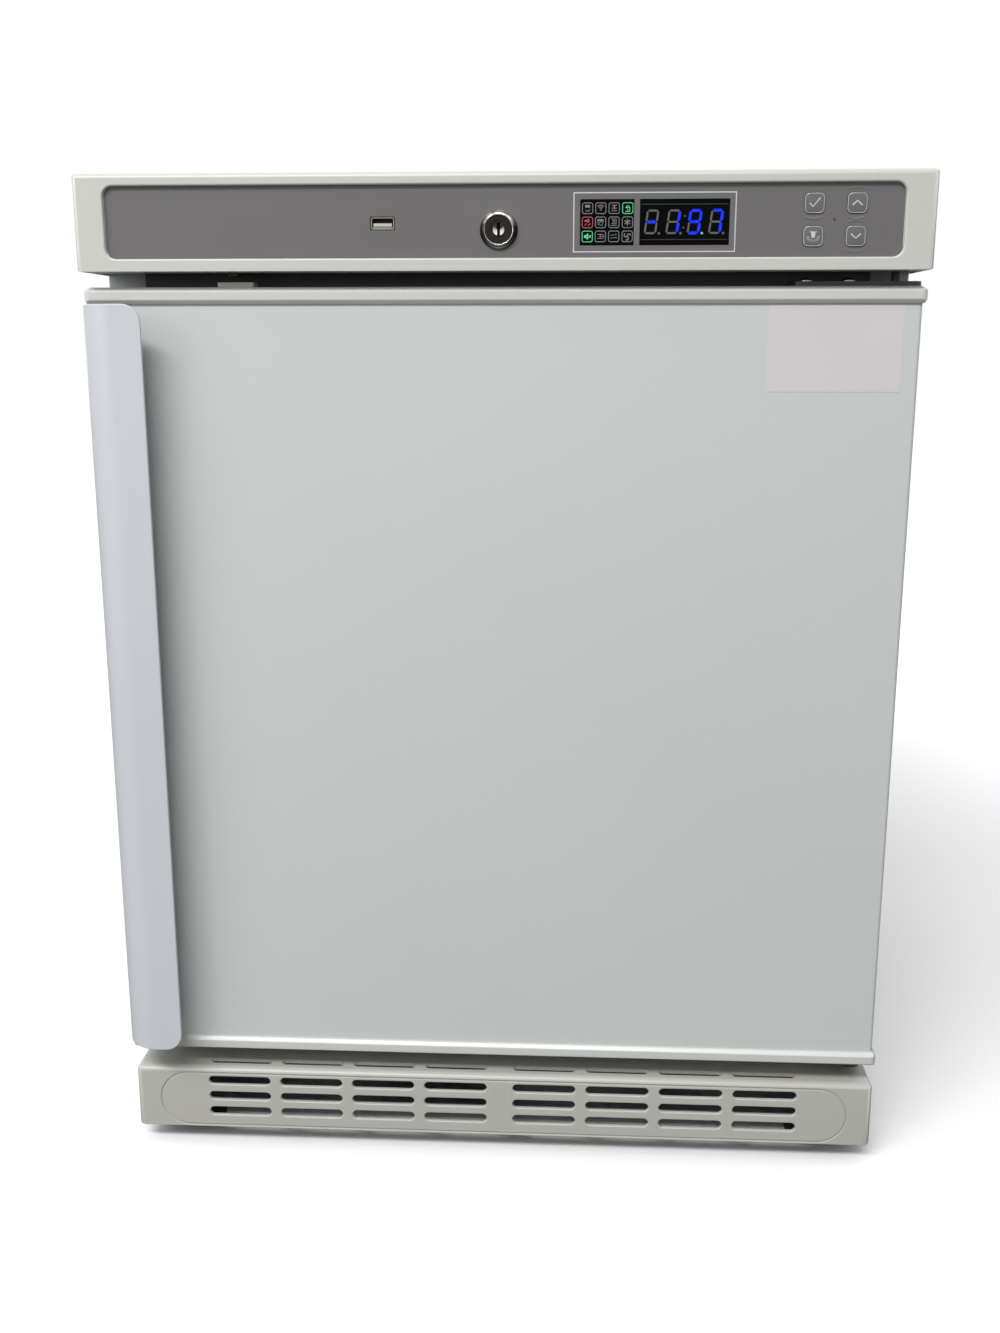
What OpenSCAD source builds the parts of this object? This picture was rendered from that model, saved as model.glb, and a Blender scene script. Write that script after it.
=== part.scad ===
// Small under-bench laboratory freezer with a right-hand hinged door.
// X runs to the right, Y to the back and Z up from the floor, with the origin in the middle of
// the rectangle that the freezer covers. The door, canopy and handle face -Y.

/* [Overall] */
// Width over the canopy, the door caps and the plinth
overall_w = 540; // [520:1:580]
// Depth from the handle's front to the back of the wall spacers
overall_d = 560; // [545:1:620]
// Height from the floor to the canopy's top
overall_h = 687.5; // [677.5:0.5:760]

/* [Cabinet] */
// How far the cabinet's sides stand in from the canopy's sides
cabinet_inset = 3; // [2.8:0.1:5]
// Thickness of the folded steel sheet
sheet_t = 1; // [0.8:0.1:1.4]
// Width of the side panels' front flanges
front_flange_w = 25; // [23:1:28]
// Width of the side panels' rear flanges
rear_flange_w = 15; // [10:1:20]
// Underside of the side panels and the base pan above the floor
base_z = 20; // [18:1:24]
// Thickness of the base pan's sheet
base_t = 2; // [1.5:0.5:3]
// Thickness of the worktop
worktop_t = 41.5; // [30:0.5:42]
// How far the worktop's face lies below the canopy's top
worktop_drop = 1; // [0.5:0.5:4]
// Free space behind the back panel, taken up by the condenser and the wall spacers
rear_space = 42; // [40:1:55]

/* [Insulation and liner] */
// Thickness of the liner's plastic wall
liner_t = 2; // [1.5:0.5:3]
// Insulation beside the liner
side_foam_t = 52; // [45:1:55]
// Insulation above the liner
top_foam_t = 67; // [60:1:80]
// Insulation below the liner
floor_foam_t = 47; // [40:1:55]
// Insulation behind the liner
rear_foam_t = 49; // [45:1:60]
// Underside of the insulation above the floor, in front of the machine bay
duct_z = 70; // [66:1:72]
// Depth of the machine bay
bay_d = 180; // [175:1:190]
// Ceiling of the machine bay above the floor
bay_z = 212; // [206:1:220]
// Radius of the liner's long inner corners
liner_r = 12; // [6:1:20]

/* [Evaporator shelves] */
// Height of the lowest shelf above the liner's step
shelf_lift = 12; // [10:1:20]
// Free height from the highest shelf to the liner's ceiling
shelf_headroom = 101; // [90:1:110]
// Outer diameter of the evaporator tube
evap_tube_d = 8; // [6:0.5:9]
// Distance between neighbouring tube runs
evap_pitch = 58; // [50:1:60]
// Diameter of the shelf's wires
shelf_wire_d = 3; // [2:0.5:4]
// Distance between neighbouring wires
shelf_wire_pitch = 33; // [28:1:40]
// Width of the ledges that carry the shelves
ledge_w = 9; // [7:1:11]

/* [Canopy] */
// Height of the canopy
canopy_h = 59.5; // [57.5:0.5:62]
// Depth of the canopy
canopy_d = 57; // [57:0.5:62]
// Wall of the canopy
canopy_t = 2.5; // [2:0.1:2.7]
// Rounding of the canopy's long edges
canopy_r = 3.5; // [2.5:0.5:5]
// How far the cabinet's front lies behind the canopy's front
cabinet_setback = 54; // [53:0.5:56]
// Depth of the canopy's underside flange
canopy_flange_d = 27; // [24:0.5:27]
// Width of canopy left beside each end of the recess for the fascia
recess_side = 19.5; // [18:0.5:25]
// Height of the recess
recess_h = 44; // [43.5:0.5:46]
// Height of canopy left above the recess
recess_top = 7.8; // [7:0.2:8]
// How far the fascia's face lies behind the canopy's front
recess_depth = 3; // [2:0.5:4]
// Corner radius of the recess
recess_r = 6.5; // [4:0.5:9]
// Thickness of the fascia
fascia_t = 1; // [0.6:0.2:1.6]

/* [Controls] */
// Gap left round each window and key
trim_gap = 0.3; // [0.2:0.05:0.5]
// Middle of the windows and the socket below the canopy's top
window_drop = 30.7; // [29.5:0.1:31.5]
// Width of the icon window
icon_w = 33; // [30:0.5:34]
// Width of the number window
digit_w = 55; // [50:0.5:56]
// Gap between the two windows
window_gap = 4.1; // [3:0.1:6]
// How far both windows stand left of the middle between the lock and the keys
window_shift = 3.2; // [0:0.1:8]
// Height of both windows
window_h = 27; // [24:0.5:28]
// Width and height of a key
key_size = 12; // [11:0.5:13.5]
// Corner radius of a key
key_r = 3; // [1.5:0.5:4]
// Travel of a key
key_travel = 0.8; // [0.5:0.1:1]
// How far a key stands out of the fascia
key_proud = 0.9; // [0.6:0.1:1.2]
// Middle of the right column of keys in from the recess's end
key_side = 29.3; // [24:0.1:34]
// Distance between the two columns of keys
key_pitch_x = 26.1; // [22:0.1:28]
// Upper row of keys down from the canopy's top
key_drop = 19.9; // [19.5:0.1:20.2]
// Distance between the two rows of keys
key_pitch_z = 19.6; // [18:0.1:20]
// Width of the lip that keeps a key behind the wall
key_lip = 1.5; // [1:0.1:2]
// Socket for a memory stick, middle across the canopy
usb_x = -73.2; // [-90:0.1:-60]
// Width of the socket's steel shell
usb_w = 14.4; // [13:0.1:15]
// Height of the socket's steel shell
usb_h = 7.1; // [6.6:0.1:7.6]
// Wall of the socket's shell
usb_t = 0.95; // [0.6:0.05:1]
// Depth from the canopy's front to the control board
board_setback = 16; // [15.5:0.5:18]
// Thickness of the control board
board_t = 1.6; // [1:0.2:2]
// Middle of the door's switch in from the canopy's left side
sensor_side = 97; // [80:1:110]

/* [Lock] */
// Height of the lock's axis below the canopy's top
lock_drop = 35; // [34:0.5:36]
// Outer radius of the lock's ring
lock_ring_r = 11.5; // [10.5:0.5:12.5]
// How far the ring stands out of the fascia
lock_ring_t = 3.2; // [2:0.2:4]
// Radius of the lock's body
lock_body_r = 9.6; // [9.2:0.1:10]
// Bore of the lock's body
lock_bore_r = 8.7; // [8:0.1:8.8]
// Running gap round the lock's plug
lock_gap = 0.06; // [0.03:0.01:0.1]
// Length of the tongue from the lock's axis
tongue_len = 40; // [38:0.5:41]
// Width of the tongue
tongue_w = 12; // [10:0.5:14]
// Thickness of the tongue
tongue_t = 3; // [2:0.5:3]

/* [Door] */
// Underside of the door above the floor
door_z = 78; // [77.9:0.1:80]
// Gap between the canopy and the door
door_gap = 9.3; // [9.1:0.1:12]
// How far the door's skin lies behind the canopy's front
skin_setback = 12; // [11.5:0.5:13]
// Thickness of the door between its skin and its inner panel
door_t = 32; // [30:0.5:32.5]
// Height of the caps along the door's top and bottom
cap_h = 10.7; // [10:0.1:12]
// How far the caps stand out of the door's front
cap_lip = 3.3; // [2.5:0.1:4]
// How far the caps stand out of the door's sides
cap_side = 2.4; // [2:0.1:2.6]
// Chamfer on the caps' outer edge, across and up
cap_chamfer = 2.6; // [1.5:0.1:3]
// Width of the magnetic gasket
gasket_w = 16; // [14:1:18]
// How far the gasket's outer edge lies inside the door's sides
gasket_inset = 15.6; // [15.6:0.2:18]
// Gap that keeps parts of the door clear of the cabinet
close_gap = 0.3; // [0.2:0.05:0.5]
// Depth of the raised middle of the inner panel
plug_d = 20; // [14:1:24]
// Gap round the raised middle in the liner's mouth
plug_gap = 9; // [8:0.5:14]

/* [Handle] */
// How far the handle reaches in front of the door's skin
handle_reach = 24.4; // [20:0.2:28]
// Sheet thickness of the handle
handle_t = 2.4; // [1.8:0.1:2.6]
// Width of the handle across the door's front
handle_w = 43; // [38:0.5:50]
// Corner radius of the handle's free edge
handle_r = 12; // [8:0.5:15]
// Depth of the flange that lies along the door's side
handle_flange_d = 22; // [16:1:26]

/* [Hinges] */
// How far the hinge axis lies inside the canopy's side
hinge_inset = 16; // [15:0.5:17]
// How far the hinge axis lies behind the canopy's front
hinge_setback = 32; // [31:0.5:33]
// Radius of the upper hinge pin
top_pin_r = 3; // [2.5:0.25:3.5]
// Radius of the lower hinge pin
low_pin_r = 4; // [3:0.25:4.5]
// Running gap round both pins
pin_gap = 0.05; // [0.02:0.01:0.1]
// Thickness of the hinge plates
hinge_t = 3; // [2.5:0.25:3.5]
// Length of the plate on top of the door
hinge_plate_l = 80.5; // [70:0.5:90]
// How far the plate on the door reaches past the hinge axis
hinge_plate_end = 13.5; // [10:0.5:14]
// Radius of the screws in the hinge brackets and the door's plate
screw_r = 2; // [1.5:0.25:2.25]
// Radius of the bracket screws' heads
screw_head_r = 3.6; // [3:0.1:3.8]
// Height of the bracket screws' heads
screw_head_h = 2.2; // [1.8:0.1:2.8]

/* [Plinth and feet] */
// Underside of the plinth above the floor
plinth_z = 14; // [12:0.5:16]
// Height of the plinth
plinth_h = 48.3; // [46:0.1:48.5]
// How far the plinth lies behind the canopy's front
plinth_setback = 11.3; // [10:0.1:15]
// Wall of the plinth
plinth_t = 2.6; // [2:0.1:3]
// Rounding of the plinth's long edges
plinth_r = 5; // [3:0.5:6]
// Length of an air slot
slot_l = 45.8; // [40:0.2:48]
// Height of an air slot
slot_h = 6.5; // [5:0.1:8]
// Distance between neighbouring slots in a row
slot_pitch = 53.4; // [52:0.2:56]
// Gap between the two middle slots
slot_middle = 19.2; // [12:0.2:20]
// Height from one row of slots to the next
slot_row_pitch = 12.4; // [11:0.1:13]
// Rows of slots
slot_rows = 3; // [2:1:3]
// Slots on each side of the middle
slot_columns = 4; // [3:1:4]
// Radius of a foot's pad
foot_r = 17; // [14:0.5:18]
// Thickness of a foot's pad
foot_h = 8; // [6:0.5:10]
// Radius of a foot's stud
stud_r = 5; // [4:0.5:6]
// Distance of the feet from the cabinet's sides
foot_inset = 35; // [30:1:45]
// Gap between the plinth's wall and a front foot
foot_gap = 22; // [18:1:26]
// Travel of a foot
foot_travel = 12; // [8:1:15]

/* [Machine bay] */
// Radius of the compressor's shell
pump_r = 68; // [60:1:70]
// Height of the compressor's shell
pump_h = 150; // [130:1:155]
// Middle of the compressor across the cabinet
pump_x = -90; // [-95:1:-70]
// Height of the rubber mounts under the compressor
mount_h = 9; // [6:1:10]
// Distance between neighbouring condenser runs
cond_pitch = 44; // [36:1:46]
// Free space beside each end of the condenser
cond_side = 72; // [70:1:90]
// Outer diameter of the condenser tube
cond_tube_d = 5; // [4.5:0.25:6]
// Diameter of the condenser's wires
cond_wire_d = 2; // [1.5:0.25:2.5]
// Distance between neighbouring wires of the condenser
cond_wire_pitch = 23.7; // [18:0.1:30]
// Width of a clip that holds the condenser
clip_w = 12; // [8:1:14]
// Height of a clip that holds the condenser
clip_h = 18; // [14:1:22]
// Diameter of the filter drier
drier_d = 18; // [15:1:20]
// Length of the filter drier
drier_l = 85; // [70:1:90]
// Width of the mains box
mains_w = 100; // [90:1:105]
// Depth of the mains box
mains_d = 90; // [80:1:100]
// Height of the mains box
mains_h = 62; // [50:1:70]
// Gap between the mains box and the foot beside it
mains_gap = 25; // [20:1:30]
// Width of a wall spacer
spacer_w = 34; // [26:1:40]
// Height of a wall spacer
spacer_h = 26; // [20:1:34]
// Middle of a wall spacer in from the cabinet's side
spacer_side = 97; // [80:1:120]

/* [Hidden] */
$fn = 48;
eps = 0.01;
deep = 1000;

half_w = overall_w / 2;
front_y = -overall_d / 2;
canopy_y = front_y + handle_reach - skin_setback;
canopy_z = overall_h - canopy_h;
canopy_back_y = canopy_y + canopy_d;
cab_half_w = half_w - cabinet_inset;
cab_y = canopy_y + cabinet_setback;
back_y = overall_d / 2 - rear_space;
worktop_z = overall_h - worktop_drop - worktop_t;
sheet_in_x = cab_half_w - sheet_t;

cavity_half_w = sheet_in_x - side_foam_t - liner_t;
cavity_top = worktop_z - sheet_t - top_foam_t - liner_t;
cavity_floor = duct_z + sheet_t + floor_foam_t + liner_t;
cavity_back = back_y - 2 * sheet_t - rear_foam_t - liner_t;
bay_y = back_y - bay_d;
step_y = bay_y - sheet_t - floor_foam_t - liner_t;
step_z = bay_z + sheet_t + floor_foam_t + liner_t;
frame_half_w = cab_half_w - front_flange_w;
frame_rim_top = 25;
frame_rim_low = 20;
frame_top = cavity_top + frame_rim_top;
frame_low = cavity_floor - frame_rim_low;
rail_drop = 4;
rail_low = duct_z - rail_drop;
rail_foot_d = 24;

shelf_count = 3;
shelf_gap_y = 15;
shelf_shift_y = 3;
shelf_z0 = step_z + shelf_lift;
shelf_pitch = (cavity_top - shelf_z0 - shelf_headroom) / (shelf_count - 1);
shelf_mid_y = (cab_y + cavity_back) / 2 + shelf_shift_y;
shelf_half_d = (cavity_back - cab_y) / 2 - shelf_gap_y;
shelf_rod_d = 5;
evap_edge = 20;
evap_runs = 2 * floor((shelf_half_d - evap_edge) / evap_pitch + 0.5);
evap_half_d = (evap_runs - 1) / 2 * evap_pitch;
evap_bend_x = cavity_half_w - ledge_w - 3 - evap_pitch / 2 - evap_tube_d / 2;
riser_x = cavity_half_w - ledge_w - 12;
riser_return = 15;

fascia_y = canopy_y + recess_depth;
recess_floor_y = fascia_y + fascia_t;
wall_in_y = recess_floor_y + canopy_t;
board_y = canopy_y + board_setback;
recess_w = overall_w - 2 * recess_side;
recess_mid_z = overall_h - recess_top - recess_h / 2;
window_z = overall_h - window_drop;
key_x = recess_w / 2 - key_side - key_pitch_x;
windows_w = icon_w + window_gap + digit_w;
windows_x = (lock_ring_r + key_x - key_size / 2) / 2 - window_shift;
icon_x = windows_x - windows_w / 2 + icon_w / 2;
digit_x = windows_x + windows_w / 2 - digit_w / 2;
key_stem_l = 4;
windows_left = windows_x - windows_w / 2;
windows_right = windows_x + windows_w / 2;
board_posts = [[usb_x + 24, window_z], [(lock_ring_r + windows_left) / 2, window_z - 10],
    [(windows_right + key_x - key_size / 2) / 2, window_z]];
sensor_x = -half_w + sensor_side;
sensor_y = canopy_y + 21;
sensor_r = 4.35;
lock_z = overall_h - lock_drop;
tongue_y = canopy_y + canopy_flange_d + 0.6;
lock_body_end = tongue_y - close_gap;
drive_w = 8;

door_top = canopy_z - door_gap;
skin_y = canopy_y + skin_setback;
door_back_y = skin_y + door_t;
cap_y = skin_y - cap_lip;
door_half_w = half_w - cap_side;
body_low = door_z + cap_h;
body_top = door_top - cap_h;
plug_half_w = cavity_half_w - plug_gap;
plug_low = cavity_floor + plug_gap;
plug_top = cavity_top - plug_gap;
core_inset = 6 + liner_t;
core_half_w = plug_half_w - core_inset;
gasket_end_y = cab_y - close_gap;
skin_bend_r = 2.5;

hinge_x = half_w - hinge_inset;
hinge_y = canopy_y + hinge_setback;
leaf_r = 10;
bracket_l = 38;
leaf_gap = 2;
bush_flange_t = 4.1;
top_leaf_z = canopy_z + canopy_t + leaf_gap;
low_leaf_z = door_z - bush_flange_t - close_gap - hinge_t;
bracket_screw_x = [hinge_x - 6.5, hinge_x + 7];
plate_screw_x = [hinge_x - 57, hinge_x - 30];
plate_front_y = hinge_y - 16;
plate_head_r = screw_head_r + 0.6;
plate_head_h = screw_head_h + 0.4;
bush_r = 6;
bush_top = body_low + 8;

groove_gap = 0.05;
groove_depth = 4;
tongue_slot_gap = 1;
handle_end_gap = 0.2;
handle_low = body_low + handle_end_gap;
handle_high = body_top - handle_end_gap;
handle_screw_end = 60;
handle_screw_z = [handle_low + handle_screw_end, (handle_low + handle_high) / 2,
    handle_high - handle_screw_end];
handle_screw_y = skin_y + handle_flange_d - 8;
sunk_r = 3.6;
sunk_h = 1;

plinth_y = canopy_y + plinth_setback;
plinth_top = plinth_z + plinth_h;
slot_drop = 10.3;
slot_first_z = plinth_top - slot_drop;
nut_r = 9.8;
nut_h = 8;
foot_x = cab_half_w - foot_inset;
foot_front_y = plinth_y + plinth_t + foot_r + foot_gap;
foot_rear_gap = 16;
foot_rear_y = back_y - foot_r - foot_rear_gap;
pan_front_y = foot_front_y - nut_r - 4;
low_screw_z = plinth_top + 4.4;
top_screw_z = worktop_z + 9;

pump_y = back_y - pump_r - 24;
pump_z = base_z + base_t + mount_h;
pump_plate_t = 3;
mount_x = pump_r + 4;
mount_y = 44;
mount_r = 9;
stub_l = 9;
suction_angle = 90;
suction_z = pump_z + 95;
suction_r = 4;
discharge_angle = 180;
discharge_z = pump_z + 80;
discharge_r = 3;

cond_end_gap = 60;
cond_off = 24;
cond_rise = 54;
cond_half_l = cab_half_w - cond_side;
cond_y = back_y + cond_off;
cond_z0 = bay_z + cond_rise;
cond_runs = 2 * floor(((worktop_z - cond_end_gap - cond_z0) / cond_pitch + 1) / 2);
cond_wires = 2 * floor((cond_half_l - 5) / cond_wire_pitch) + 1;
cond_top = cond_z0 + (cond_runs - 1) * cond_pitch;
drop_pipe_x = cond_half_l + cond_pitch / 2 + cond_tube_d / 2 + 12;
drier_r = drier_d / 2;
drier_x = cond_half_l + 13;
drier_y = back_y - drier_r - 4;
drier_low = pump_z + 60;
drier_high = drier_low + drier_l;
mains_x = foot_x - foot_r - mains_gap - mains_w / 2;
mains_back_y = back_y - 6;
inlet_z = base_z + base_t + mains_h / 2;
inlet_body = [27, 19.4];
inlet_depth = 17;

white_plastic = "#e6e5de";
white_paint = "#e4e6e7";
handle_paint = "#dfe3e6";
zinc = "#9fa3a6";
dark_steel = "#3c3f40";
black_plastic = "#1c1d1e";
panel_grey = "#757476";

// 2D rectangle centred on the origin, with round corners
module round_rect(w, h, r) {
    square([w - 2 * r, h], center = true);
    square([w, h - 2 * r], center = true);
    for (x = [-1, 1], y = [-1, 1])
        translate([x * (w / 2 - r), y * (h / 2 - r)]) circle(r);
}

// 2D slot with round ends, lying along X
module slot_shape(l, h) {
    square([l - h, h], center = true);
    for (x = [-1, 1]) translate([x * (l - h) / 2, 0]) circle(h / 2);
}

// Extrudes a front view, drawn in X and Z, from y0 back to y1
module front_view(y0, y1) {
    translate([0, y1, 0]) rotate([90, 0, 0]) linear_extrude(y1 - y0) children();
}

// Extrudes a side view, drawn in Y and Z, over a width centred on X
module side_view(w) {
    translate([-w / 2, 0, 0]) rotate([90, 0, 90]) linear_extrude(w) children();
}

// Extrudes a plan view, drawn in X and Y, from z0 up to z1
module plan_view(z0, z1) {
    translate([0, 0, z0]) linear_extrude(z1 - z0) children();
}

// Box given by its low and high corners
module span(low, high) {
    translate(low) cube(high - low);
}

// Box across the middle plane, half a width on each side
module span_x(hw, y0, y1, z0, z1) {
    span([-hw, y0, z0], [hw, y1, z1]);
}

// Cylinder along Y
module rod_y(x, z, r, y0, y1) {
    translate([x, y0, z]) rotate([-90, 0, 0]) cylinder(h = y1 - y0, r = r);
}

// Cylinder along Z
module rod_z(x, y, r, z0, z1) {
    translate([x, y, z0]) cylinder(h = z1 - z0, r = r);
}

// Cylinder along X
module rod_x(x0, x1, y, z, r) {
    translate([x0, y, z]) rotate([0, 90, 0]) cylinder(h = x1 - x0, r = r);
}

// Cylinder between two points
module strut(a, b, r) {
    run = b - a;
    len = norm(run);
    translate(a)
        rotate([0, acos(run[2] / len), atan2(run[1], run[0])])
            cylinder(h = len, r = r);
}

// Pipe through a list of points, with a ball in each bend
module pipe(points, r) {
    for (i = [1 : len(points) - 1]) strut(points[i - 1], points[i], r);
    for (i = [1 : 1 : len(points) - 2]) translate(points[i]) sphere(r);
}

// Flat serpentine of straight runs along X, with half-round bends at alternate ends
module serpentine(runs, half_l, pitch, r) {
    for (i = [0 : runs - 1]) rod_x(-half_l, half_l, i * pitch, 0, r);
    for (i = [0 : runs - 2]) {
        side = i % 2 == 0 ? 1 : -1;
        translate([side * half_l, (i + 0.5) * pitch, 0])
            rotate([0, 0, side > 0 ? -90 : 90])
                rotate_extrude(angle = 180) translate([pitch / 2, 0]) circle(r);
    }
}

// Pan-head screw along Z, its head standing on the point of origin
module pan_screw(r, head_r, head_h, length) {
    translate([0, 0, -length]) cylinder(h = length + eps, r = r);
    cylinder(h = head_h * 0.45, r = head_r);
    translate([0, 0, head_h * 0.45]) cylinder(h = head_h * 0.55, r1 = head_r, r2 = head_r * 0.62);
}

// Side panel: one folded sheet with a front flange and a rear flange, seen in plan
module side_panel_plan() {
    translate([sheet_in_x, cab_y]) square([sheet_t, back_y - cab_y]);
    translate([frame_half_w, cab_y]) square([front_flange_w, sheet_t]);
    translate([cab_half_w - rear_flange_w, back_y - sheet_t]) square([rear_flange_w, sheet_t]);
}

module side_panel_left() {
    color(white_paint) mirror([1, 0, 0]) plan_view(base_z, worktop_z) side_panel_plan();
}

module side_panel_right() {
    color(white_paint) difference() {
        plan_view(base_z, worktop_z) side_panel_plan();
        for (x = bracket_screw_x) rod_y(x, low_screw_z, screw_r, cab_y - 1, cab_y + sheet_t + 1);
    }
}

module top_panel() {
    color(zinc) span_x(sheet_in_x, cab_y + sheet_t, back_y - 2 * sheet_t, worktop_z - sheet_t, worktop_z);
}

// The worktop's long front and rear edges are rounded, its front butts against the canopy
module worktop() {
    edge_r = 4;
    over = 3;
    color(white_plastic) intersection() {
        span_x(cab_half_w, canopy_back_y, back_y + over, worktop_z, worktop_z + worktop_t);
        side_view(overall_w)
            translate([(canopy_back_y + back_y) / 2, worktop_z + worktop_t / 2 - edge_r / 2])
                round_rect(back_y - canopy_back_y + 2 * over, worktop_t + edge_r, edge_r);
        front_view(front_y, overall_d / 2)
            translate([0, worktop_z + worktop_t / 2 - edge_r / 2])
                round_rect(2 * cab_half_w, worktop_t + edge_r, edge_r);
    }
}

module back_panel() {
    rib_w = 60;
    color(zinc) {
        span_x(sheet_in_x, back_y - 2 * sheet_t, back_y - sheet_t, bay_z, worktop_z);
        for (x = [-1, 1])
            translate([x * 60, 0, (bay_z + worktop_z) / 2])
                front_view(back_y - sheet_t - eps, back_y)
                    round_rect(rib_w, worktop_z - bay_z - 90, 12);
    }
}

// Base pan with turned-up sides and a welded nut for each foot, reaching forward between the side panels
module base_pan() {
    lip = 25;
    color(zinc) difference() {
        union() {
            span_x(sheet_in_x, cab_y + sheet_t, back_y - 2 * sheet_t, base_z, base_z + base_t);
            span_x(frame_half_w, pan_front_y, cab_y + 2 * front_flange_w, base_z, base_z + base_t);
            for (x = [-1, 1])
                translate([x * (sheet_in_x - base_t / 2), 0, 0])
                    span([-base_t / 2, cab_y + sheet_t, base_z],
                        [base_t / 2, back_y - 2 * sheet_t, base_z + lip]);
            for (x = [-1, 1], y = [foot_front_y, foot_rear_y])
                translate([x * foot_x, y, base_z + base_t - eps]) cylinder(h = nut_h, r = nut_r, $fn = 6);
        }
        for (x = [-1, 1], y = [foot_front_y, foot_rear_y])
            rod_z(x * foot_x, y, stud_r + pin_gap, base_z - 1, base_z + base_t + nut_h + 1);
    }
}

// One sheet folded into the duct's ceiling, the bay's front wall and the bay's ceiling
module bay_panel() {
    color(zinc) side_view(2 * sheet_in_x) {
        translate([cab_y + liner_t, duct_z]) square([bay_y - cab_y - liner_t, sheet_t]);
        translate([bay_y - sheet_t, duct_z]) square([sheet_t, bay_z + sheet_t - duct_z]);
        translate([bay_y - sheet_t, bay_z]) square([back_y - 2 * sheet_t - bay_y + sheet_t, sheet_t]);
    }
}

module top_rail() {
    color(dark_steel) difference() {
        union() {
            span_x(frame_half_w, cab_y, cab_y + sheet_t, frame_top, worktop_z + eps);
            span_x(sheet_in_x, cab_y, cab_y + sheet_t, worktop_z, overall_h - canopy_t - 2);
        }
        for (x = bracket_screw_x) rod_y(x, top_screw_z, screw_r, cab_y - 1, cab_y + sheet_t + 1);
    }
}

module bottom_rail() {
    color(white_paint) side_view(2 * frame_half_w) {
        translate([cab_y, rail_low]) square([sheet_t, frame_low - rail_low]);
        translate([cab_y, rail_low]) square([rail_foot_d, sheet_t]);
    }
}

// The room taken by the liner, grown outwards by a wall
module liner_room(wall, y0, y1) {
    difference() {
        front_view(y0, y1)
            translate([0, (cavity_top + cavity_floor) / 2])
                round_rect(2 * (cavity_half_w + wall), cavity_top - cavity_floor + 2 * wall,
                    liner_r + wall);
        span_x(deep, step_y + wall, deep, cavity_floor - deep, step_z - wall);
    }
}

module cabinet_foam() {
    color("#e8dfb8") difference() {
        span_x(sheet_in_x, cab_y + liner_t, back_y - 2 * sheet_t, duct_z + sheet_t, worktop_z - sheet_t);
        liner_room(liner_t, cab_y, cavity_back + liner_t);
        span_x(deep, bay_y - sheet_t, deep, 0, bay_z + sheet_t);
    }
}

// Height of a shelf's tube centres above the floor
function shelf_z(i) = shelf_z0 + i * shelf_pitch;

module inner_liner() {
    ledge_t = 8;
    ledge_end = 6;
    color("#f2f2ef") difference() {
        union() {
            difference() {
                union() {
                    liner_room(liner_t, cab_y, cavity_back + liner_t);
                    span_x(frame_half_w, cab_y, cab_y + liner_t, frame_low, frame_top);
                }
                liner_room(0, cab_y - 1, cavity_back);
            }
            for (i = [0 : shelf_count - 1], x = [-1, 1])
                translate([x * (cavity_half_w - ledge_w / 2 + eps), shelf_mid_y,
                    shelf_z(i) - shelf_rod_d / 2 - ledge_t])
                    span([-ledge_w / 2 - eps, -shelf_half_d - ledge_end, 0],
                        [ledge_w / 2 + eps, shelf_half_d + ledge_end, ledge_t]);
        }
        for (i = [0, shelf_count - 1])
            rod_y(-riser_x, shelf_z(i) + riser_return, evap_tube_d / 2 + trim_gap,
                cavity_back - 1, cavity_back + liner_t + 1);
    }
}

// Evaporator shelf: a tube coil with wires welded across it, hung on two rods
module evaporator_shelf(i) {
    wire_count = floor(evap_bend_x / shelf_wire_pitch);
    hanger_half_l = cavity_half_w - 1.5;
    hanger_y = shelf_half_d - 4;
    wire_z = evap_tube_d / 2 + shelf_wire_d / 2 - 1;
    color("#f4f4f2") translate([0, shelf_mid_y, shelf_z(i)]) {
        translate([0, -evap_half_d, 0])
            serpentine(evap_runs, evap_bend_x, evap_pitch, evap_tube_d / 2);
        for (k = [-wire_count : wire_count])
            rod_y(k * shelf_wire_pitch, wire_z, shelf_wire_d / 2, -shelf_half_d, shelf_half_d);
        for (y = [-1, 1]) {
            rod_x(-hanger_half_l, hanger_half_l, y * hanger_y, 0, shelf_rod_d / 2);
            for (k = [-wire_count : wire_count])
                rod_z(k * shelf_wire_pitch, y * hanger_y, shelf_wire_d / 2, 0, wire_z);
        }
    }
}

module evaporator_shelf_1() { evaporator_shelf(0); }

module evaporator_shelf_2() { evaporator_shelf(1); }

module evaporator_shelf_3() { evaporator_shelf(2); }

// Tubes that feed the lowest coil, join the coils and lead back through the liner's rear wall
module evaporator_risers() {
    end_x = -evap_bend_x;
    y_front = shelf_mid_y - evap_half_d;
    y_rear = shelf_mid_y + evap_half_d;
    wall_y = cavity_back + liner_t;
    last = shelf_count - 1;
    last_y = last % 2 == 0 ? y_front : y_rear;
    color("#f4f4f2") {
        pipe([[end_x, y_rear, shelf_z(0)], [-riser_x, y_rear, shelf_z(0)],
            [-riser_x, y_rear, shelf_z(0) + riser_return],
            [-riser_x, wall_y, shelf_z(0) + riser_return]], evap_tube_d / 2);
        for (i = [0 : last - 1]) {
            y = i % 2 == 0 ? y_front : y_rear;
            pipe([[end_x, y, shelf_z(i)], [-riser_x, y, shelf_z(i)], [-riser_x, y, shelf_z(i + 1)],
                [end_x, y, shelf_z(i + 1)]], evap_tube_d / 2);
        }
        pipe([[end_x, last_y, shelf_z(last)], [-riser_x, last_y, shelf_z(last)],
            [-riser_x, last_y, shelf_z(last) + riser_return],
            [-riser_x, wall_y, shelf_z(last) + riser_return]], evap_tube_d / 2);
    }
}

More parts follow.
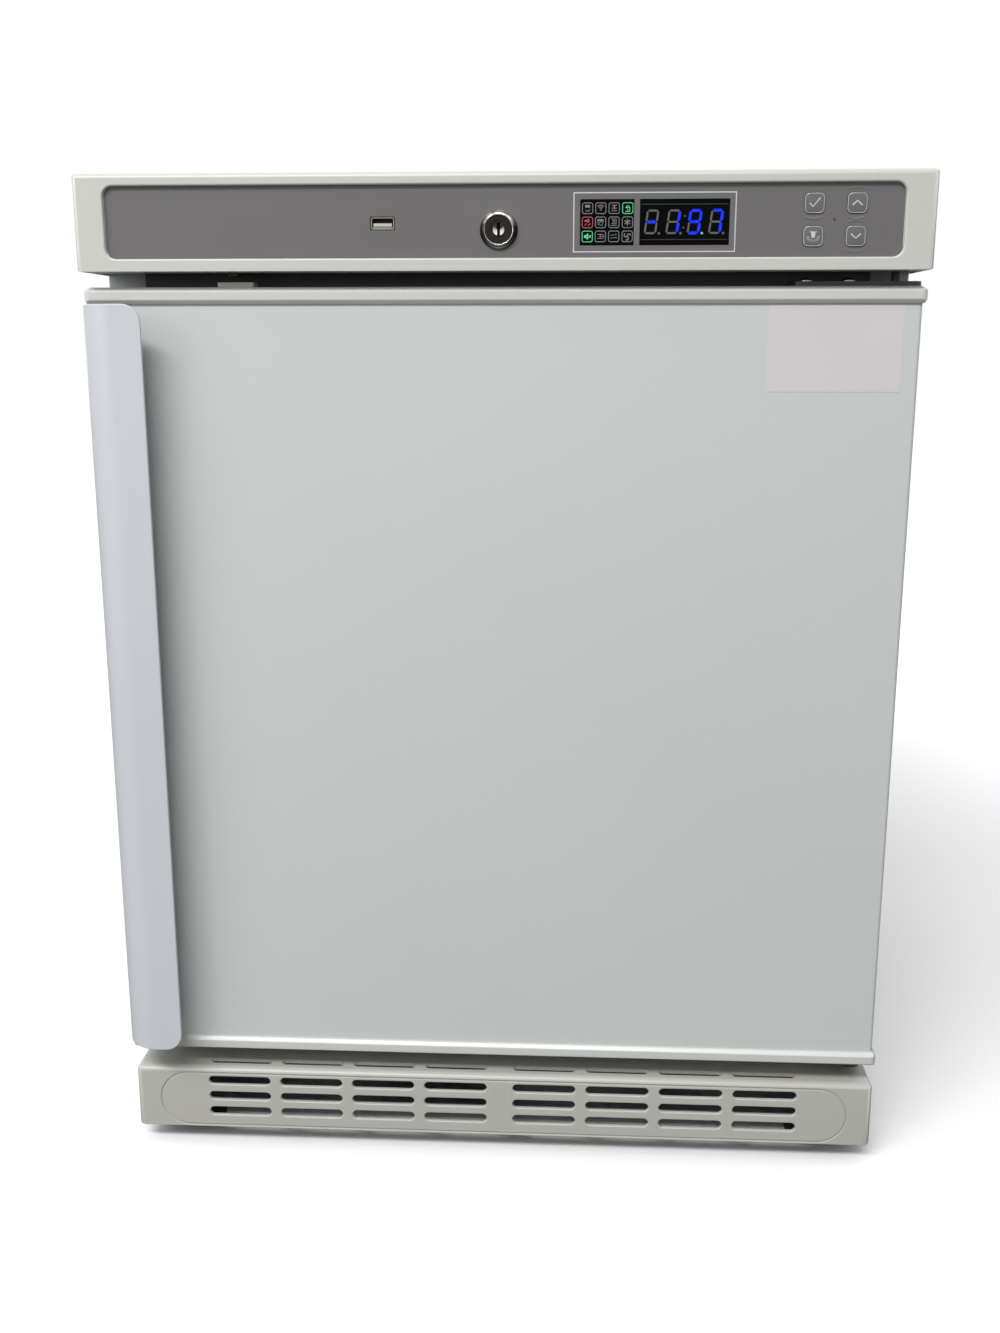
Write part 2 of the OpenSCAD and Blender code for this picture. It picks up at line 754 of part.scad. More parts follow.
// Block with its front, side and top edges rounded, as seen in plan, from the front and the side
module soft_block(hw, y0, y1, z0, z1, r, low_r) {
    depth = y1 - y0;
    height = z1 - z0;
    intersection() {
        plan_view(z0, z1) translate([0, y0 + depth]) round_rect(2 * hw, 2 * depth, r);
        front_view(y0, y1) intersection() {
            translate([0, z0]) round_rect(2 * hw, 2 * height, r);
            translate([0, z1]) round_rect(2 * hw, 2 * height, low_r);
        }
        side_view(2 * hw) translate([y0 + depth, z0]) round_rect(2 * depth, 2 * height, r);
    }
}

// Places of the keys, as the column and row of each
function key_place(col, row) =
    [key_x + col * key_pitch_x, overall_h - key_drop - row * key_pitch_z];

key_places = [for (col = [0, 1], row = [0, 1]) key_place(col, row)];

// Openings through the fascia and the canopy's wall for everything set in them
module control_openings(y0, y1) {
    front_view(y0, y1) {
        for (p = key_places)
            translate(p) round_rect(key_size + 2 * trim_gap, key_size + 2 * trim_gap, key_r + trim_gap);
        for (window = [[icon_x, icon_w], [digit_x, digit_w]])
            translate([window[0], window_z])
                square([window[1] + 2 * trim_gap, window_h + 2 * trim_gap], center = true);
        translate([usb_x, window_z]) round_rect(usb_w + 1.4, usb_h + 1.1, 0.8);
        translate([0, lock_z]) circle(lock_body_r + 0.1);
    }
}

module canopy() {
    post_r = 3;
    color(white_plastic) difference() {
        union() {
            difference() {
                soft_block(half_w, canopy_y, canopy_back_y, canopy_z, overall_h, canopy_r, 1.5);
                span_x(half_w - canopy_t, wall_in_y, canopy_back_y + 1, canopy_z + canopy_t,
                    overall_h - canopy_t);
                span_x(half_w - canopy_t, canopy_y + canopy_flange_d, canopy_back_y + 1, canopy_z - 1,
                    canopy_z + canopy_t + 1);
            }
            for (p = board_posts) rod_y(p[0], p[1], post_r, wall_in_y - eps, board_y);
        }
        front_view(canopy_y - 1, recess_floor_y)
            translate([0, recess_mid_z]) round_rect(recess_w, recess_h, recess_r);
        control_openings(canopy_y, wall_in_y + eps);
        rod_z(sensor_x, sensor_y, sensor_r + 0.1, canopy_z - 1, canopy_z + canopy_t + 1);
    }
}

module fascia_panel() {
    color(panel_grey) difference() {
        front_view(fascia_y, recess_floor_y)
            translate([0, recess_mid_z])
                round_rect(recess_w - 2 * trim_gap, recess_h - 2 * trim_gap, recess_r - trim_gap);
        control_openings(fascia_y - 1, recess_floor_y + 1);
    }
}

module icon_window() {
    color(black_plastic) front_view(fascia_y + 0.1, wall_in_y)
        translate([icon_x, window_z]) square([icon_w, window_h], center = true);
}

module number_window() {
    color(black_plastic) front_view(fascia_y + 0.1, wall_in_y)
        translate([digit_x, window_z]) square([digit_w, window_h], center = true);
}

// Circuit board on three posts, with the display module and a switch behind each key
module control_board() {
    board_low = canopy_z + canopy_t + 8;
    board_high = overall_h - canopy_t - 5;
    display_low_x = icon_x - icon_w / 2;
    display_high_x = digit_x + digit_w / 2;
    switch_y = wall_in_y + close_gap + key_stem_l + key_travel + close_gap;
    color("#2f5d3a") difference() {
        span([usb_x - 18, board_y, board_low], [key_x + key_pitch_x + 16, board_y + board_t, board_high]);
        rod_y(0, lock_z, lock_body_r + 1.5, board_y - 1, board_y + board_t + 1);
    }
    color(black_plastic) {
        span([display_low_x, wall_in_y, window_z - window_h / 2 + 1],
            [display_high_x, board_y + eps, window_z + window_h / 2 - 1]);
        for (p = key_places)
            translate(p[0] * [1, 0, 0] + p[1] * [0, 0, 1])
                span([-3, switch_y, -3], [3, board_y + eps, 3]);
    }
}

module usb_socket() {
    tongue_size = [11.1, 1.84];
    y0 = fascia_y + 0.3;
    color(zinc) difference() {
        front_view(y0, board_y) translate([usb_x, window_z]) round_rect(usb_w, usb_h, 0.6);
        front_view(y0 - 1, board_y - 2)
            translate([usb_x, window_z]) square([usb_w - 2 * usb_t, usb_h - 2 * usb_t], center = true);
    }
    color(black_plastic) front_view(y0 + 1, board_y - 2 + eps)
        translate([usb_x, window_z + usb_h / 2 - usb_t - 0.4 - tongue_size[1] / 2])
            square(tongue_size, center = true);
}

// Fixed body of the cam lock, screwed in from the front with a chamfered ring
module lock_body() {
    bevel = 1.2;
    color("silver") difference() {
        union() {
            translate([0, fascia_y, lock_z]) rotate([90, 0, 0]) {
                cylinder(h = lock_ring_t - bevel, r = lock_ring_r);
                translate([0, 0, lock_ring_t - bevel])
                    cylinder(h = bevel, r1 = lock_ring_r, r2 = lock_ring_r - bevel);
            }
            rod_y(0, lock_z, lock_body_r, fascia_y - eps, lock_body_end);
        }
        rod_y(0, lock_z, lock_bore_r, fascia_y - lock_ring_t - 1, lock_body_end + 1);
    }
}

module lock_nut() {
    color("silver") difference() {
        translate([0, wall_in_y, lock_z]) rotate([-90, 0, 0]) cylinder(h = 4, r = 14.5, $fn = 6);
        rod_y(0, lock_z, lock_body_r + pin_gap, wall_in_y - 1, wall_in_y + 5);
    }
}

// Turning plug with its dished face and keyway, and the square that drives the tongue
module lock_plug() {
    face_y = fascia_y - lock_ring_t + 0.5;
    color("silver") difference() {
        union() {
            rod_y(0, lock_z, lock_bore_r - lock_gap, face_y, lock_body_end);
            front_view(lock_body_end - eps, tongue_y + tongue_t)
                translate([0, lock_z]) square(drive_w, center = true);
        }
        rod_y(0, lock_z, 6, face_y - 1, face_y + 0.8);
        front_view(face_y - 1, face_y + 9) translate([0, lock_z]) square([2, 8.5], center = true);
    }
}

// The tongue lies level when the lock is open, and points down into the door's cap when it is shut
module lock_tongue() {
    color(zinc) difference() {
        front_view(tongue_y, tongue_y + tongue_t) translate([0, lock_z]) {
            circle(lock_bore_r - lock_gap);
            translate([-tongue_len, -tongue_w / 2]) square([tongue_len, tongue_w]);
        }
        front_view(tongue_y - 1, tongue_y + tongue_t + 1)
            translate([0, lock_z]) square(drive_w, center = true);
    }
}

// Key: its cap in the fascia, a lip behind the canopy's wall and a stem to the switch
module key_at(place) {
    face_y = fascia_y - key_proud;
    lip_y = wall_in_y + close_gap;
    color("#6c6b6e") translate([place[0], 0, place[1]]) {
        front_view(face_y + 0.4, lip_y + eps) round_rect(key_size, key_size, key_r);
        front_view(face_y, face_y + 0.4 + eps) round_rect(key_size - 0.8, key_size - 0.8, key_r - 0.4);
        front_view(lip_y, lip_y + 1)
            round_rect(key_size + 2 * key_lip, key_size + 2 * key_lip, key_r + key_lip);
        rod_y(0, 0, 2, lip_y + 1 - eps, lip_y + key_stem_l);
    }
}

module key_confirm() { key_at(key_places[0]); }

module key_lamp() { key_at(key_places[1]); }

module key_up() { key_at(key_places[2]); }

module key_down() { key_at(key_places[3]); }

// Switch over the door: its nose reaches through the canopy's flange
module door_sensor() {
    color(black_plastic) {
        rod_z(sensor_x, sensor_y, sensor_r, canopy_z - 2.4, canopy_z + canopy_t + eps);
        span([sensor_x - 8, sensor_y - 6, canopy_z + canopy_t],
            [sensor_x + 8, sensor_y + 5, canopy_z + 14]);
    }
}

// Leaf of a hinge bracket: a tongue with a round end about the hinge axis
module hinge_leaf(z0) {
    rod_z(hinge_x, hinge_y, leaf_r, z0, z0 + hinge_t);
    span([hinge_x - leaf_r, hinge_y, z0], [hinge_x + leaf_r, cab_y, z0 + hinge_t]);
}

// Tab of a hinge bracket, lying on the cabinet's front
module hinge_tab(z0, z1) {
    span([sheet_in_x - bracket_l, cab_y - hinge_t, z0], [sheet_in_x, cab_y, z1]);
}

module top_hinge_bracket() {
    color(dark_steel) difference() {
        union() {
            hinge_leaf(top_leaf_z);
            hinge_tab(top_leaf_z, top_screw_z + 8);
        }
        rod_z(hinge_x, hinge_y, top_pin_r + pin_gap, top_leaf_z - 1, top_leaf_z + hinge_t + 1);
        for (x = bracket_screw_x) rod_y(x, top_screw_z, screw_r, cab_y - hinge_t - 1, cab_y + 1);
    }
}

module bottom_hinge_bracket() {
    color(dark_steel) difference() {
        union() {
            hinge_leaf(low_leaf_z);
            hinge_tab(plinth_top + 0.5, low_leaf_z + hinge_t);
            rod_z(hinge_x, hinge_y, low_pin_r, low_leaf_z + hinge_t - eps, body_low);
        }
        for (x = bracket_screw_x) rod_y(x, low_screw_z, screw_r, cab_y - hinge_t - 1, cab_y + 1);
    }
}

module bracket_screws() {
    color("silver") for (x = bracket_screw_x, z = [low_screw_z, top_screw_z])
        translate([x, cab_y - hinge_t, z])
            rotate([90, 0, 0]) pan_screw(screw_r, screw_head_r, screw_head_h, hinge_t + sheet_t);
}

// Middle of each air slot across the plinth
function slot_x(side, i) = side * (slot_middle / 2 + slot_l / 2 + i * slot_pitch);

// Plinth: a shell open below and behind, with rows of slots inside a stadium-shaped groove
module plinth_grille() {
    groove_w = 1.2;
    groove_d = 0.7;
    groove_l = overall_w - 35;
    groove_h = plinth_h - 5;
    groove_z = plinth_z + groove_h / 2 + 1.2;
    top_slot_y = plinth_y + 11;
    color(white_plastic) difference() {
        soft_block(half_w, plinth_y, cab_y, plinth_z, plinth_top, plinth_r, 3);
        span_x(half_w - plinth_t, plinth_y + plinth_t, cab_y + 1, plinth_z - 1,
            plinth_top - plinth_t);
        front_view(plinth_y - 1, plinth_y + plinth_t + 1)
            for (side = [-1, 1], i = [0 : slot_columns - 1], row = [0 : slot_rows - 1])
                translate([slot_x(side, i), slot_first_z - row * slot_row_pitch])
                    slot_shape(slot_l, slot_h);
        plan_view(plinth_top - plinth_t - 1, plinth_top + 1)
            for (side = [-1, 1], i = [0 : slot_columns - 1])
                translate([slot_x(side, i), top_slot_y]) slot_shape(slot_l, slot_h);
        front_view(plinth_y - 1, plinth_y + groove_d) translate([0, groove_z]) difference() {
            slot_shape(groove_l, groove_h);
            slot_shape(groove_l - 2 * groove_w, groove_h - 2 * groove_w);
        }
    }
}

// Point on a compressor stub, at an angle in plan and a distance from the shell's axis
function pump_point(angle, distance, z) =
    [pump_x + distance * cos(angle), pump_y + distance * sin(angle), z];

// Hermetic compressor: a drawn shell with its weld seam, base plate and two stubs
module compressor() {
    low_r = 18;
    dome_r = 42;
    color(black_plastic) {
        translate([pump_x, pump_y, pump_z + pump_plate_t - eps]) rotate_extrude() {
            square([pump_r - dome_r, pump_h]);
            translate([0, low_r]) square([pump_r, pump_h - low_r - dome_r]);
            square([pump_r - low_r, pump_h / 2]);
            translate([pump_r - low_r, low_r]) circle(low_r);
            intersection() {
                translate([pump_r - dome_r, pump_h - dome_r]) circle(dome_r);
                square([pump_r, pump_h]);
            }
        }
        translate([pump_x, pump_y, pump_z + pump_h * 0.58]) cylinder(h = 5, r = pump_r + 2.5);
        translate([pump_x, pump_y, 0]) plan_view(pump_z, pump_z + pump_plate_t)
            round_rect(2 * mount_x + 24, 2 * mount_y + 24, 12);
    }
    color("#b87333") {
        strut(pump_point(suction_angle, pump_r - 4, suction_z),
            pump_point(suction_angle, pump_r + stub_l, suction_z), suction_r);
        strut(pump_point(discharge_angle, pump_r - 4, discharge_z),
            pump_point(discharge_angle, pump_r + stub_l, discharge_z), discharge_r);
    }
}

module compressor_mounts() {
    color(black_plastic) for (x = [-1, 1], y = [-1, 1])
        rod_z(pump_x + x * mount_x, pump_y + y * mount_y, mount_r, base_z + base_t, pump_z);
}

// Cover over the compressor's terminals, hollowed to lie against the shell
module terminal_cover() {
    color("#2a2b2d") difference() {
        translate([pump_x, pump_y, 0])
            span([pump_r - 24, -24, pump_z + 38], [pump_r + 22, 24, pump_z + 82]);
        rod_z(pump_x, pump_y, pump_r + 0.2, pump_z, pump_z + pump_h);
    }
}

// Condenser: a serpentine tube with upright wires, behind the back panel
module condenser() {
    mid_wire = (cond_wires - 1) / 2;
    wire_end = 12;
    wire_y = cond_y + (cond_tube_d + cond_wire_d) / 2 - 0.7;
    color(black_plastic) {
        translate([0, cond_y, cond_z0]) rotate([90, 0, 0])
            serpentine(cond_runs, cond_half_l, cond_pitch, cond_tube_d / 2);
        for (i = [0 : cond_wires - 1])
            rod_z((i - mid_wire) * cond_wire_pitch, wire_y, cond_wire_d / 2,
                cond_z0 - wire_end, cond_top + wire_end);
    }
}

// Clips that hold the condenser's first and last runs off the back panel
module condenser_standoffs() {
    clip_x = (cond_wires / 2 - 1) * cond_wire_pitch;
    half_l = clip_w / 2;
    half_h = clip_h / 2;
    color(black_plastic) for (x = [-1, 1], z = [cond_z0, cond_top]) difference() {
        translate([x * clip_x, 0, z])
            span([-half_l, back_y - sheet_t, -half_h], [half_l, cond_y + cond_tube_d / 2 + 0.6, half_h]);
        rod_x(x * clip_x - clip_w, x * clip_x + clip_w, cond_y, z, cond_tube_d / 2 + pin_gap);
        translate([x * clip_x, 0, z])
            span([-clip_w, cond_y, -clip_h], [clip_w, cond_y + clip_h, -cond_tube_d / 2 + 1]);
    }
}

module filter_drier() {
    neck = 10;
    color("#b87333") translate([-drier_x, drier_y, 0]) {
        rod_z(0, 0, drier_r, drier_low + neck, drier_high - neck);
        translate([0, 0, drier_high - neck - eps])
            cylinder(h = neck, r1 = drier_r, r2 = discharge_r + 0.5);
        translate([0, 0, drier_low]) cylinder(h = neck + eps, r1 = 2, r2 = drier_r);
    }
}

// Discharge line up to the condenser, the line down to the drier, the capillary and the suction line
module refrigerant_pipes() {
    capillary_r = 1.2;
    cap_z = drier_low - 12;
    suction_end = pump_point(suction_angle, pump_r + stub_l + 5, suction_z);
    turn_z = bay_z - 12;
    color("#b87333") {
        pipe([pump_point(discharge_angle, pump_r + stub_l, discharge_z),
            [-drop_pipe_x, pump_y, discharge_z], [-drop_pipe_x, cond_y, discharge_z],
            [-drop_pipe_x, cond_y, cond_top], [-cond_half_l, cond_y, cond_top]], cond_tube_d / 2);
        pipe([[-cond_half_l, cond_y, cond_z0], [-drier_x, cond_y, cond_z0],
            [-drier_x, cond_y, turn_z], [-drier_x, drier_y, turn_z],
            [-drier_x, drier_y, drier_high - eps]], cond_tube_d / 2);
        pipe([[-drier_x, drier_y, drier_low], [-drier_x, drier_y, cap_z], [-drier_x, bay_y, cap_z]],
            capillary_r);
        pipe([pump_point(suction_angle, pump_r + stub_l, suction_z), suction_end,
            [suction_end[0], suction_end[1], bay_z]], suction_r);
    }
}

// Box that holds the mains terminals, on the base pan
module mains_box() {
    color("#2a2b2d") difference() {
        translate([mains_x, 0, base_z + base_t]) plan_view(0, mains_h)
            translate([0, mains_back_y - mains_d / 2]) round_rect(mains_w, mains_d, 4);
        front_view(mains_back_y - inlet_depth, mains_back_y + 1)
            translate([mains_x, inlet_z]) round_rect(inlet_body[0] + 0.4, inlet_body[1] + 0.4, 2);
    }
}

// Appliance inlet with three blades
module power_inlet() {
    wall = 1.5;
    blade = [2, 4];
    flange = [50, 25];
    flange_t = 2.5;
    color(black_plastic) difference() {
        union() {
            front_view(mains_back_y - inlet_depth, mains_back_y + eps)
                translate([mains_x, inlet_z]) round_rect(inlet_body[0], inlet_body[1], 2);
            front_view(mains_back_y, mains_back_y + flange_t)
                translate([mains_x, inlet_z]) round_rect(flange[0], flange[1], 5);
        }
        front_view(mains_back_y - inlet_depth + wall, mains_back_y + flange_t + 1)
            translate([mains_x, inlet_z]) square(inlet_body - 2 * [wall, wall], center = true);
    }
    color("silver") for (p = [[-7, -2], [0, 2], [7, -2]])
        front_view(mains_back_y - inlet_depth + wall - eps, mains_back_y - 2)
            translate([mains_x + p[0], inlet_z + p[1]]) square(blade, center = true);
}

// Spacers that keep the condenser off the wall
module wall_spacers() {
    spacer_z = worktop_z - spacer_h / 2 - 11;
    wall = 3;
    color(black_plastic) for (x = [-1, 1]) difference() {
        translate([x * (cab_half_w - spacer_side), 0, spacer_z])
            front_view(back_y - sheet_t, overall_d / 2) round_rect(spacer_w, spacer_h, 6);
        translate([x * (cab_half_w - spacer_side), 0, spacer_z])
            front_view(back_y + 2, overall_d / 2 - wall)
                square([spacer_w - 2 * wall, spacer_h + 2], center = true);
    }
}

// Door skin in plan: a sheet folded back along both sides
module skin_plan(grow) {
    difference() {
        skin_outline(grow, skin_bend_r);
        skin_outline(-sheet_t - grow, skin_bend_r - sheet_t);
        translate([-half_w, door_back_y + grow]) square([overall_w, door_t + 1]);
    }
}

module skin_outline(grow, r) {
    translate([0, skin_y + door_t])
        round_rect(2 * (door_half_w + grow), 2 * (door_t + grow), r + max(grow, 0));
}

module door_skin() {
    color(white_paint) plan_view(body_low - groove_depth, body_top + groove_depth) skin_plan(0);
}

module door_foam() {
    color("#e8dfb8") difference() {
        union() {
            plan_view(body_low, body_top) difference() {
                skin_outline(-sheet_t, skin_bend_r - sheet_t);
                translate([-half_w, door_back_y - liner_t]) square([overall_w, 2 * door_t]);
            }
            front_view(door_back_y - liner_t - eps, door_back_y + plug_d - liner_t)
                translate([0, (plug_top + plug_low) / 2])
                    round_rect(2 * core_half_w, plug_top - plug_low - 2 * core_inset, 6);
        }
        rod_z(hinge_x, hinge_y, bush_r, body_low - 1, bush_top);
    }
}

// Raised middle of the inner panel, drafted all round
module plug_form(shrink) {
    draft = 5;
    w = 2 * (plug_half_w - shrink);
    h = plug_top - plug_low - 2 * shrink;
    translate([0, 0, (plug_top + plug_low) / 2]) hull() {
        front_view(door_back_y - 1 - shrink, door_back_y - shrink) round_rect(w, h, 16);
        front_view(door_back_y + plug_d - 1 - shrink, door_back_y + plug_d - shrink)
            round_rect(w - 2 * draft, h - 2 * draft, 12);
    }
}

module door_inner_panel() {
    color("#f2f2ef") difference() {
        union() {
            span_x(door_half_w - sheet_t, door_back_y - liner_t, door_back_y, body_low, body_top);
            plug_form(0);
        }
        front_view(door_back_y - liner_t - 1, door_back_y + plug_d - liner_t)
            translate([0, (plug_top + plug_low) / 2])
                round_rect(2 * core_half_w, plug_top - plug_low - 2 * core_inset, 6);
    }
}

// One layer of the gasket, its edges drawn in from both sides of the full width
module gasket_ring(inset, y0, y1) {
    w = 2 * (door_half_w - gasket_inset - inset);
    h = body_top - body_low - 6 - 2 * inset;
    band = gasket_w - 2 * inset;
    front_view(y0, y1) translate([0, (body_top + body_low) / 2]) difference() {
        round_rect(w, h, 8 - inset);
        square([w - 2 * band, h - 2 * band], center = true);
    }
}

// Gasket: a wide foot, a bellows neck and the magnetic head
module door_gasket() {
    foot_end = door_back_y + 2.4;
    head_start = gasket_end_y - 3.4;
    color("#8d8f90") {
        gasket_ring(0, door_back_y, foot_end);
        gasket_ring(4.5, foot_end - eps, head_start + eps);
        gasket_ring(0.8, head_start, gasket_end_y);
    }
}

// Cap of the door with its outer side up: chamfers along the front and both sides
module door_cap_form() {
    over = 4.3; // depth of the upper chamfer
    under = 2; // depth of the lower chamfer
    front_shape = [[-half_w + over, cap_h], [-half_w, cap_h - cap_chamfer], [-half_w, cap_chamfer],
        [-half_w + under, 0], [half_w - under, 0], [half_w, cap_chamfer],
        [half_w, cap_h - cap_chamfer], [half_w - over, cap_h]];
    side_shape = [[cap_y + over, cap_h], [cap_y, cap_h - cap_chamfer], [cap_y, cap_chamfer],
        [cap_y + under, 0], [door_back_y, 0], [door_back_y, cap_h]];
    intersection() {
        front_view(cap_y, door_back_y) polygon(front_shape);
        side_view(overall_w) polygon(side_shape);
        plan_view(0, cap_h) translate([0, cap_y + door_t]) round_rect(overall_w, 2 * door_t, 4);
    }
}

// Groove that takes the skin's edge
module skin_groove(z0, z1) {
    plan_view(z0, z1) skin_plan(groove_gap);
}

module door_top_cap() {
    drop = lock_z - door_top;
    reach = norm([tongue_len, tongue_w / 2]);
    slot_left = -sqrt(reach * reach - drop * drop) - 2;
    slot_low = lock_z - reach - tongue_slot_gap / 2;
    color(white_paint) difference() {
        translate([0, 0, body_top]) door_cap_form();
        skin_groove(body_top - 1, body_top + groove_depth + groove_gap);
        span([slot_left, tongue_y - tongue_slot_gap, slot_low],
            [tongue_w / 2 + 2.5, tongue_y + tongue_t + tongue_slot_gap, door_top + 1]);
        for (x = plate_screw_x) rod_z(x, hinge_y, screw_r, door_top - 8, door_top + 1);
    }
}

module door_bottom_cap() {
    color(white_paint) difference() {
        translate([0, 0, body_low]) mirror([0, 0, 1]) door_cap_form();
        skin_groove(body_low - groove_depth - groove_gap, body_low + 1);
        rod_z(hinge_x, hinge_y, bush_r, door_z - 1, body_low + 1);
    }
}

// Handle in plan: a flange on the door's side, a quarter turn and the grip with its free edge
module handle_plan() {
    turn_x = -half_w + handle_reach;
    translate([turn_x, skin_y]) intersection() {
        difference() {
            circle(handle_reach);
            circle(handle_reach - handle_t);
        }
        translate([-handle_reach, -handle_reach]) square(handle_reach);
    }
    translate([turn_x, skin_y - handle_reach]) square([handle_w - handle_reach, handle_t]);
    translate([-half_w, skin_y]) square([cap_side, handle_flange_d]);
}

module door_handle() {
    height = handle_high - handle_low;
    color(handle_paint) difference() {
        intersection() {
            plan_view(handle_low - 1, handle_high + 1) handle_plan();
            union() {
                front_view(front_y - 1, skin_y + eps)
                    translate([-half_w, handle_low + height / 2])
                        round_rect(2 * handle_w, height, handle_r);
                span([-half_w - 1, skin_y, handle_low], [0, door_back_y, handle_high]);
            }
        }
        for (z = handle_screw_z) {
            rod_x(-half_w - 1, -door_half_w + 1, handle_screw_y, z, screw_r);
            rod_x(-half_w - 1, -half_w + sunk_h, handle_screw_y, z, sunk_r);
        }
    }
}

module handle_screws() {
    color("silver") for (z = handle_screw_z) {
        rod_x(-half_w, -door_half_w, handle_screw_y, z, screw_r);
        rod_x(-half_w, -half_w + sunk_h, handle_screw_y, z, sunk_r);
    }
}

// Plate on the door's top, with its round end about the hinge axis, and the upper pin
module hinge_plate() {
    plate_back_y = door_back_y - 2;
    mid_x = hinge_x + hinge_plate_end - hinge_plate_l / 2;
    color(dark_steel) difference() {
        union() {
            plan_view(door_top, door_top + hinge_t)
                translate([mid_x, (plate_front_y + plate_back_y) / 2])
                    round_rect(hinge_plate_l, plate_back_y - plate_front_y, 5);
            rod_z(hinge_x, hinge_y, top_pin_r, door_top + hinge_t - eps, top_leaf_z + hinge_t + 1);
        }
        for (x = plate_screw_x) rod_z(x, hinge_y, screw_r, door_top - 1, door_top + hinge_t + 1);
    }
}

module hinge_plate_screws() {
    color("silver") for (x = plate_screw_x)
        translate([x, hinge_y, door_top + hinge_t])
            pan_screw(screw_r, plate_head_r, plate_head_h, hinge_t + 8);
}

module door_magnet() {
    color("#c9cbcb") translate([sensor_x + 2, sensor_y, 0]) plan_view(door_top, door_top + 3)
        round_rect(24, 14, 1.5);
}

// Flanged bush in the door's bottom cap, running on the lower pin
module hinge_bush() {
    flange_r = 9;
    color("#d8d8d4") difference() {
        union() {
            rod_z(hinge_x, hinge_y, bush_r, door_z - eps, bush_top);
            rod_z(hinge_x, hinge_y, flange_r, low_leaf_z + hinge_t + close_gap, door_z);
        }
        rod_z(hinge_x, hinge_y, low_pin_r + pin_gap, low_leaf_z, body_low + 1);
    }
}

// Levelling foot: a pad with a chamfered foot and a stud that climbs into the base pan's nut
module foot_at(x, y) {
    chamfer = 2;
    stud_top = base_z + base_t + nut_h + foot_travel + 2;
    color(black_plastic) {
        translate([x, y, 0]) cylinder(h = chamfer, r1 = foot_r - chamfer, r2 = foot_r);
        rod_z(x, y, foot_r, chamfer - eps, foot_h);
    }
    color("silver") rod_z(x, y, stud_r, foot_h - eps, stud_top);
}

module foot_front_left() { foot_at(-foot_x, foot_front_y); }

module foot_front_right() { foot_at(foot_x, foot_front_y); }

module foot_rear_left() { foot_at(-foot_x, foot_rear_y); }

module foot_rear_right() { foot_at(foot_x, foot_rear_y); }

side_panel_left();
side_panel_right();
top_panel();
worktop();
back_panel();
base_pan();
bay_panel();
top_rail();
bottom_rail();
cabinet_foam();
inner_liner();
evaporator_shelf_1();
evaporator_shelf_2();
evaporator_shelf_3();
evaporator_risers();
canopy();
fascia_panel();
icon_window();
number_window();
control_board();
usb_socket();
lock_body();
lock_nut();
door_sensor();
top_hinge_bracket();
bottom_hinge_bracket();
bracket_screws();
plinth_grille();
compressor();
compressor_mounts();
terminal_cover();
condenser();
condenser_standoffs();
filter_drier();
refrigerant_pipes();
mains_box();
power_inlet();
wall_spacers();
door_skin();
door_foam();
door_inner_panel();
door_gasket();
door_top_cap();
door_bottom_cap();
door_handle();
handle_screws();
hinge_plate();
hinge_plate_screws();
door_magnet();
hinge_bush();
lock_plug();
lock_tongue();
key_confirm();
key_lamp();
key_up();
key_down();
foot_front_left();
foot_front_right();
foot_rear_left();
foot_rear_right();
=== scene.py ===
import math

import bmesh
import bpy
from mathutils import Matrix, Vector


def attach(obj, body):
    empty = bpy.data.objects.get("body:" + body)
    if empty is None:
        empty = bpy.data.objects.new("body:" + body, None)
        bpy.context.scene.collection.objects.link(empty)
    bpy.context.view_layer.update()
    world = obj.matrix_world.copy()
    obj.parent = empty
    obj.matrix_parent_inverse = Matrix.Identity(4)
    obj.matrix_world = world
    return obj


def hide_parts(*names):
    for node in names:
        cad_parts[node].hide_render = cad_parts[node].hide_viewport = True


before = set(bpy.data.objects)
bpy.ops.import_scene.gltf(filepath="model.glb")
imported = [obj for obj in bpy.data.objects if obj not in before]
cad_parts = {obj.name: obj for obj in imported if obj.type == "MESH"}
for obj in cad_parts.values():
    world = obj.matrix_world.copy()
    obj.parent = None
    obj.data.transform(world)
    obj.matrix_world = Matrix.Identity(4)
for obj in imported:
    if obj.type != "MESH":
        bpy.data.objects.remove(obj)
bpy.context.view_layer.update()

mm = 0.001
scene = bpy.context.scene
scene.view_settings.view_transform = "Standard"
print("model loaded:", len(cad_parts), "nodes")


# camera, lamps, floor

shot = {
    "place": (48.2, -1160.0, 582.0),     # mm
    "yaw": 0.0529,                       # turned a little to the left
    "pitch": 0.2305,                     # and 13 degrees down
    "lens": 36.93,
    "sensor": 36.0,
}

cameraData = bpy.data.cameras.new("shotCamera")
cameraData.sensor_fit = "AUTO"
cameraData.sensor_width = shot["sensor"]
cameraData.lens = shot["lens"]
cameraData.clip_start = 0.01
cameraData.clip_end = 100
camera = bpy.data.objects.new("shotCamera", cameraData)
scene.collection.objects.link(camera)
yaw, pitch = shot["yaw"], shot["pitch"]
ahead = Vector((-math.sin(yaw) * math.cos(pitch), math.cos(yaw) * math.cos(pitch),
                -math.sin(pitch)))
toRight = Vector((math.cos(yaw), math.sin(yaw), 0))
upwards = toRight.cross(ahead)
turned = Matrix((toRight, upwards, -ahead)).transposed()
camera.matrix_world = Matrix.Translation(Vector(shot["place"]) * mm) @ turned.to_4x4()
scene.camera = camera


def linear(code):                # sRGB hex to the linear colour that Blender works in
    parts = [int(code[i:i + 2], 16) / 255 for i in (1, 3, 5)]
    return [p / 12.92 if p <= 0.04045 else ((p + 0.055) / 1.055) ** 2.4 for p in parts] + [1.0]


def addNode(tree, kind, settings=None, inputs=None):
    node = tree.nodes.new(kind)
    for name, value in (settings or {}).items():
        setattr(node, name, value)
    for name, value in (inputs or {}).items():
        if isinstance(value, bpy.types.NodeSocket):
            tree.links.new(value, node.inputs[name])
        else:
            node.inputs[name].default_value = value
    return node


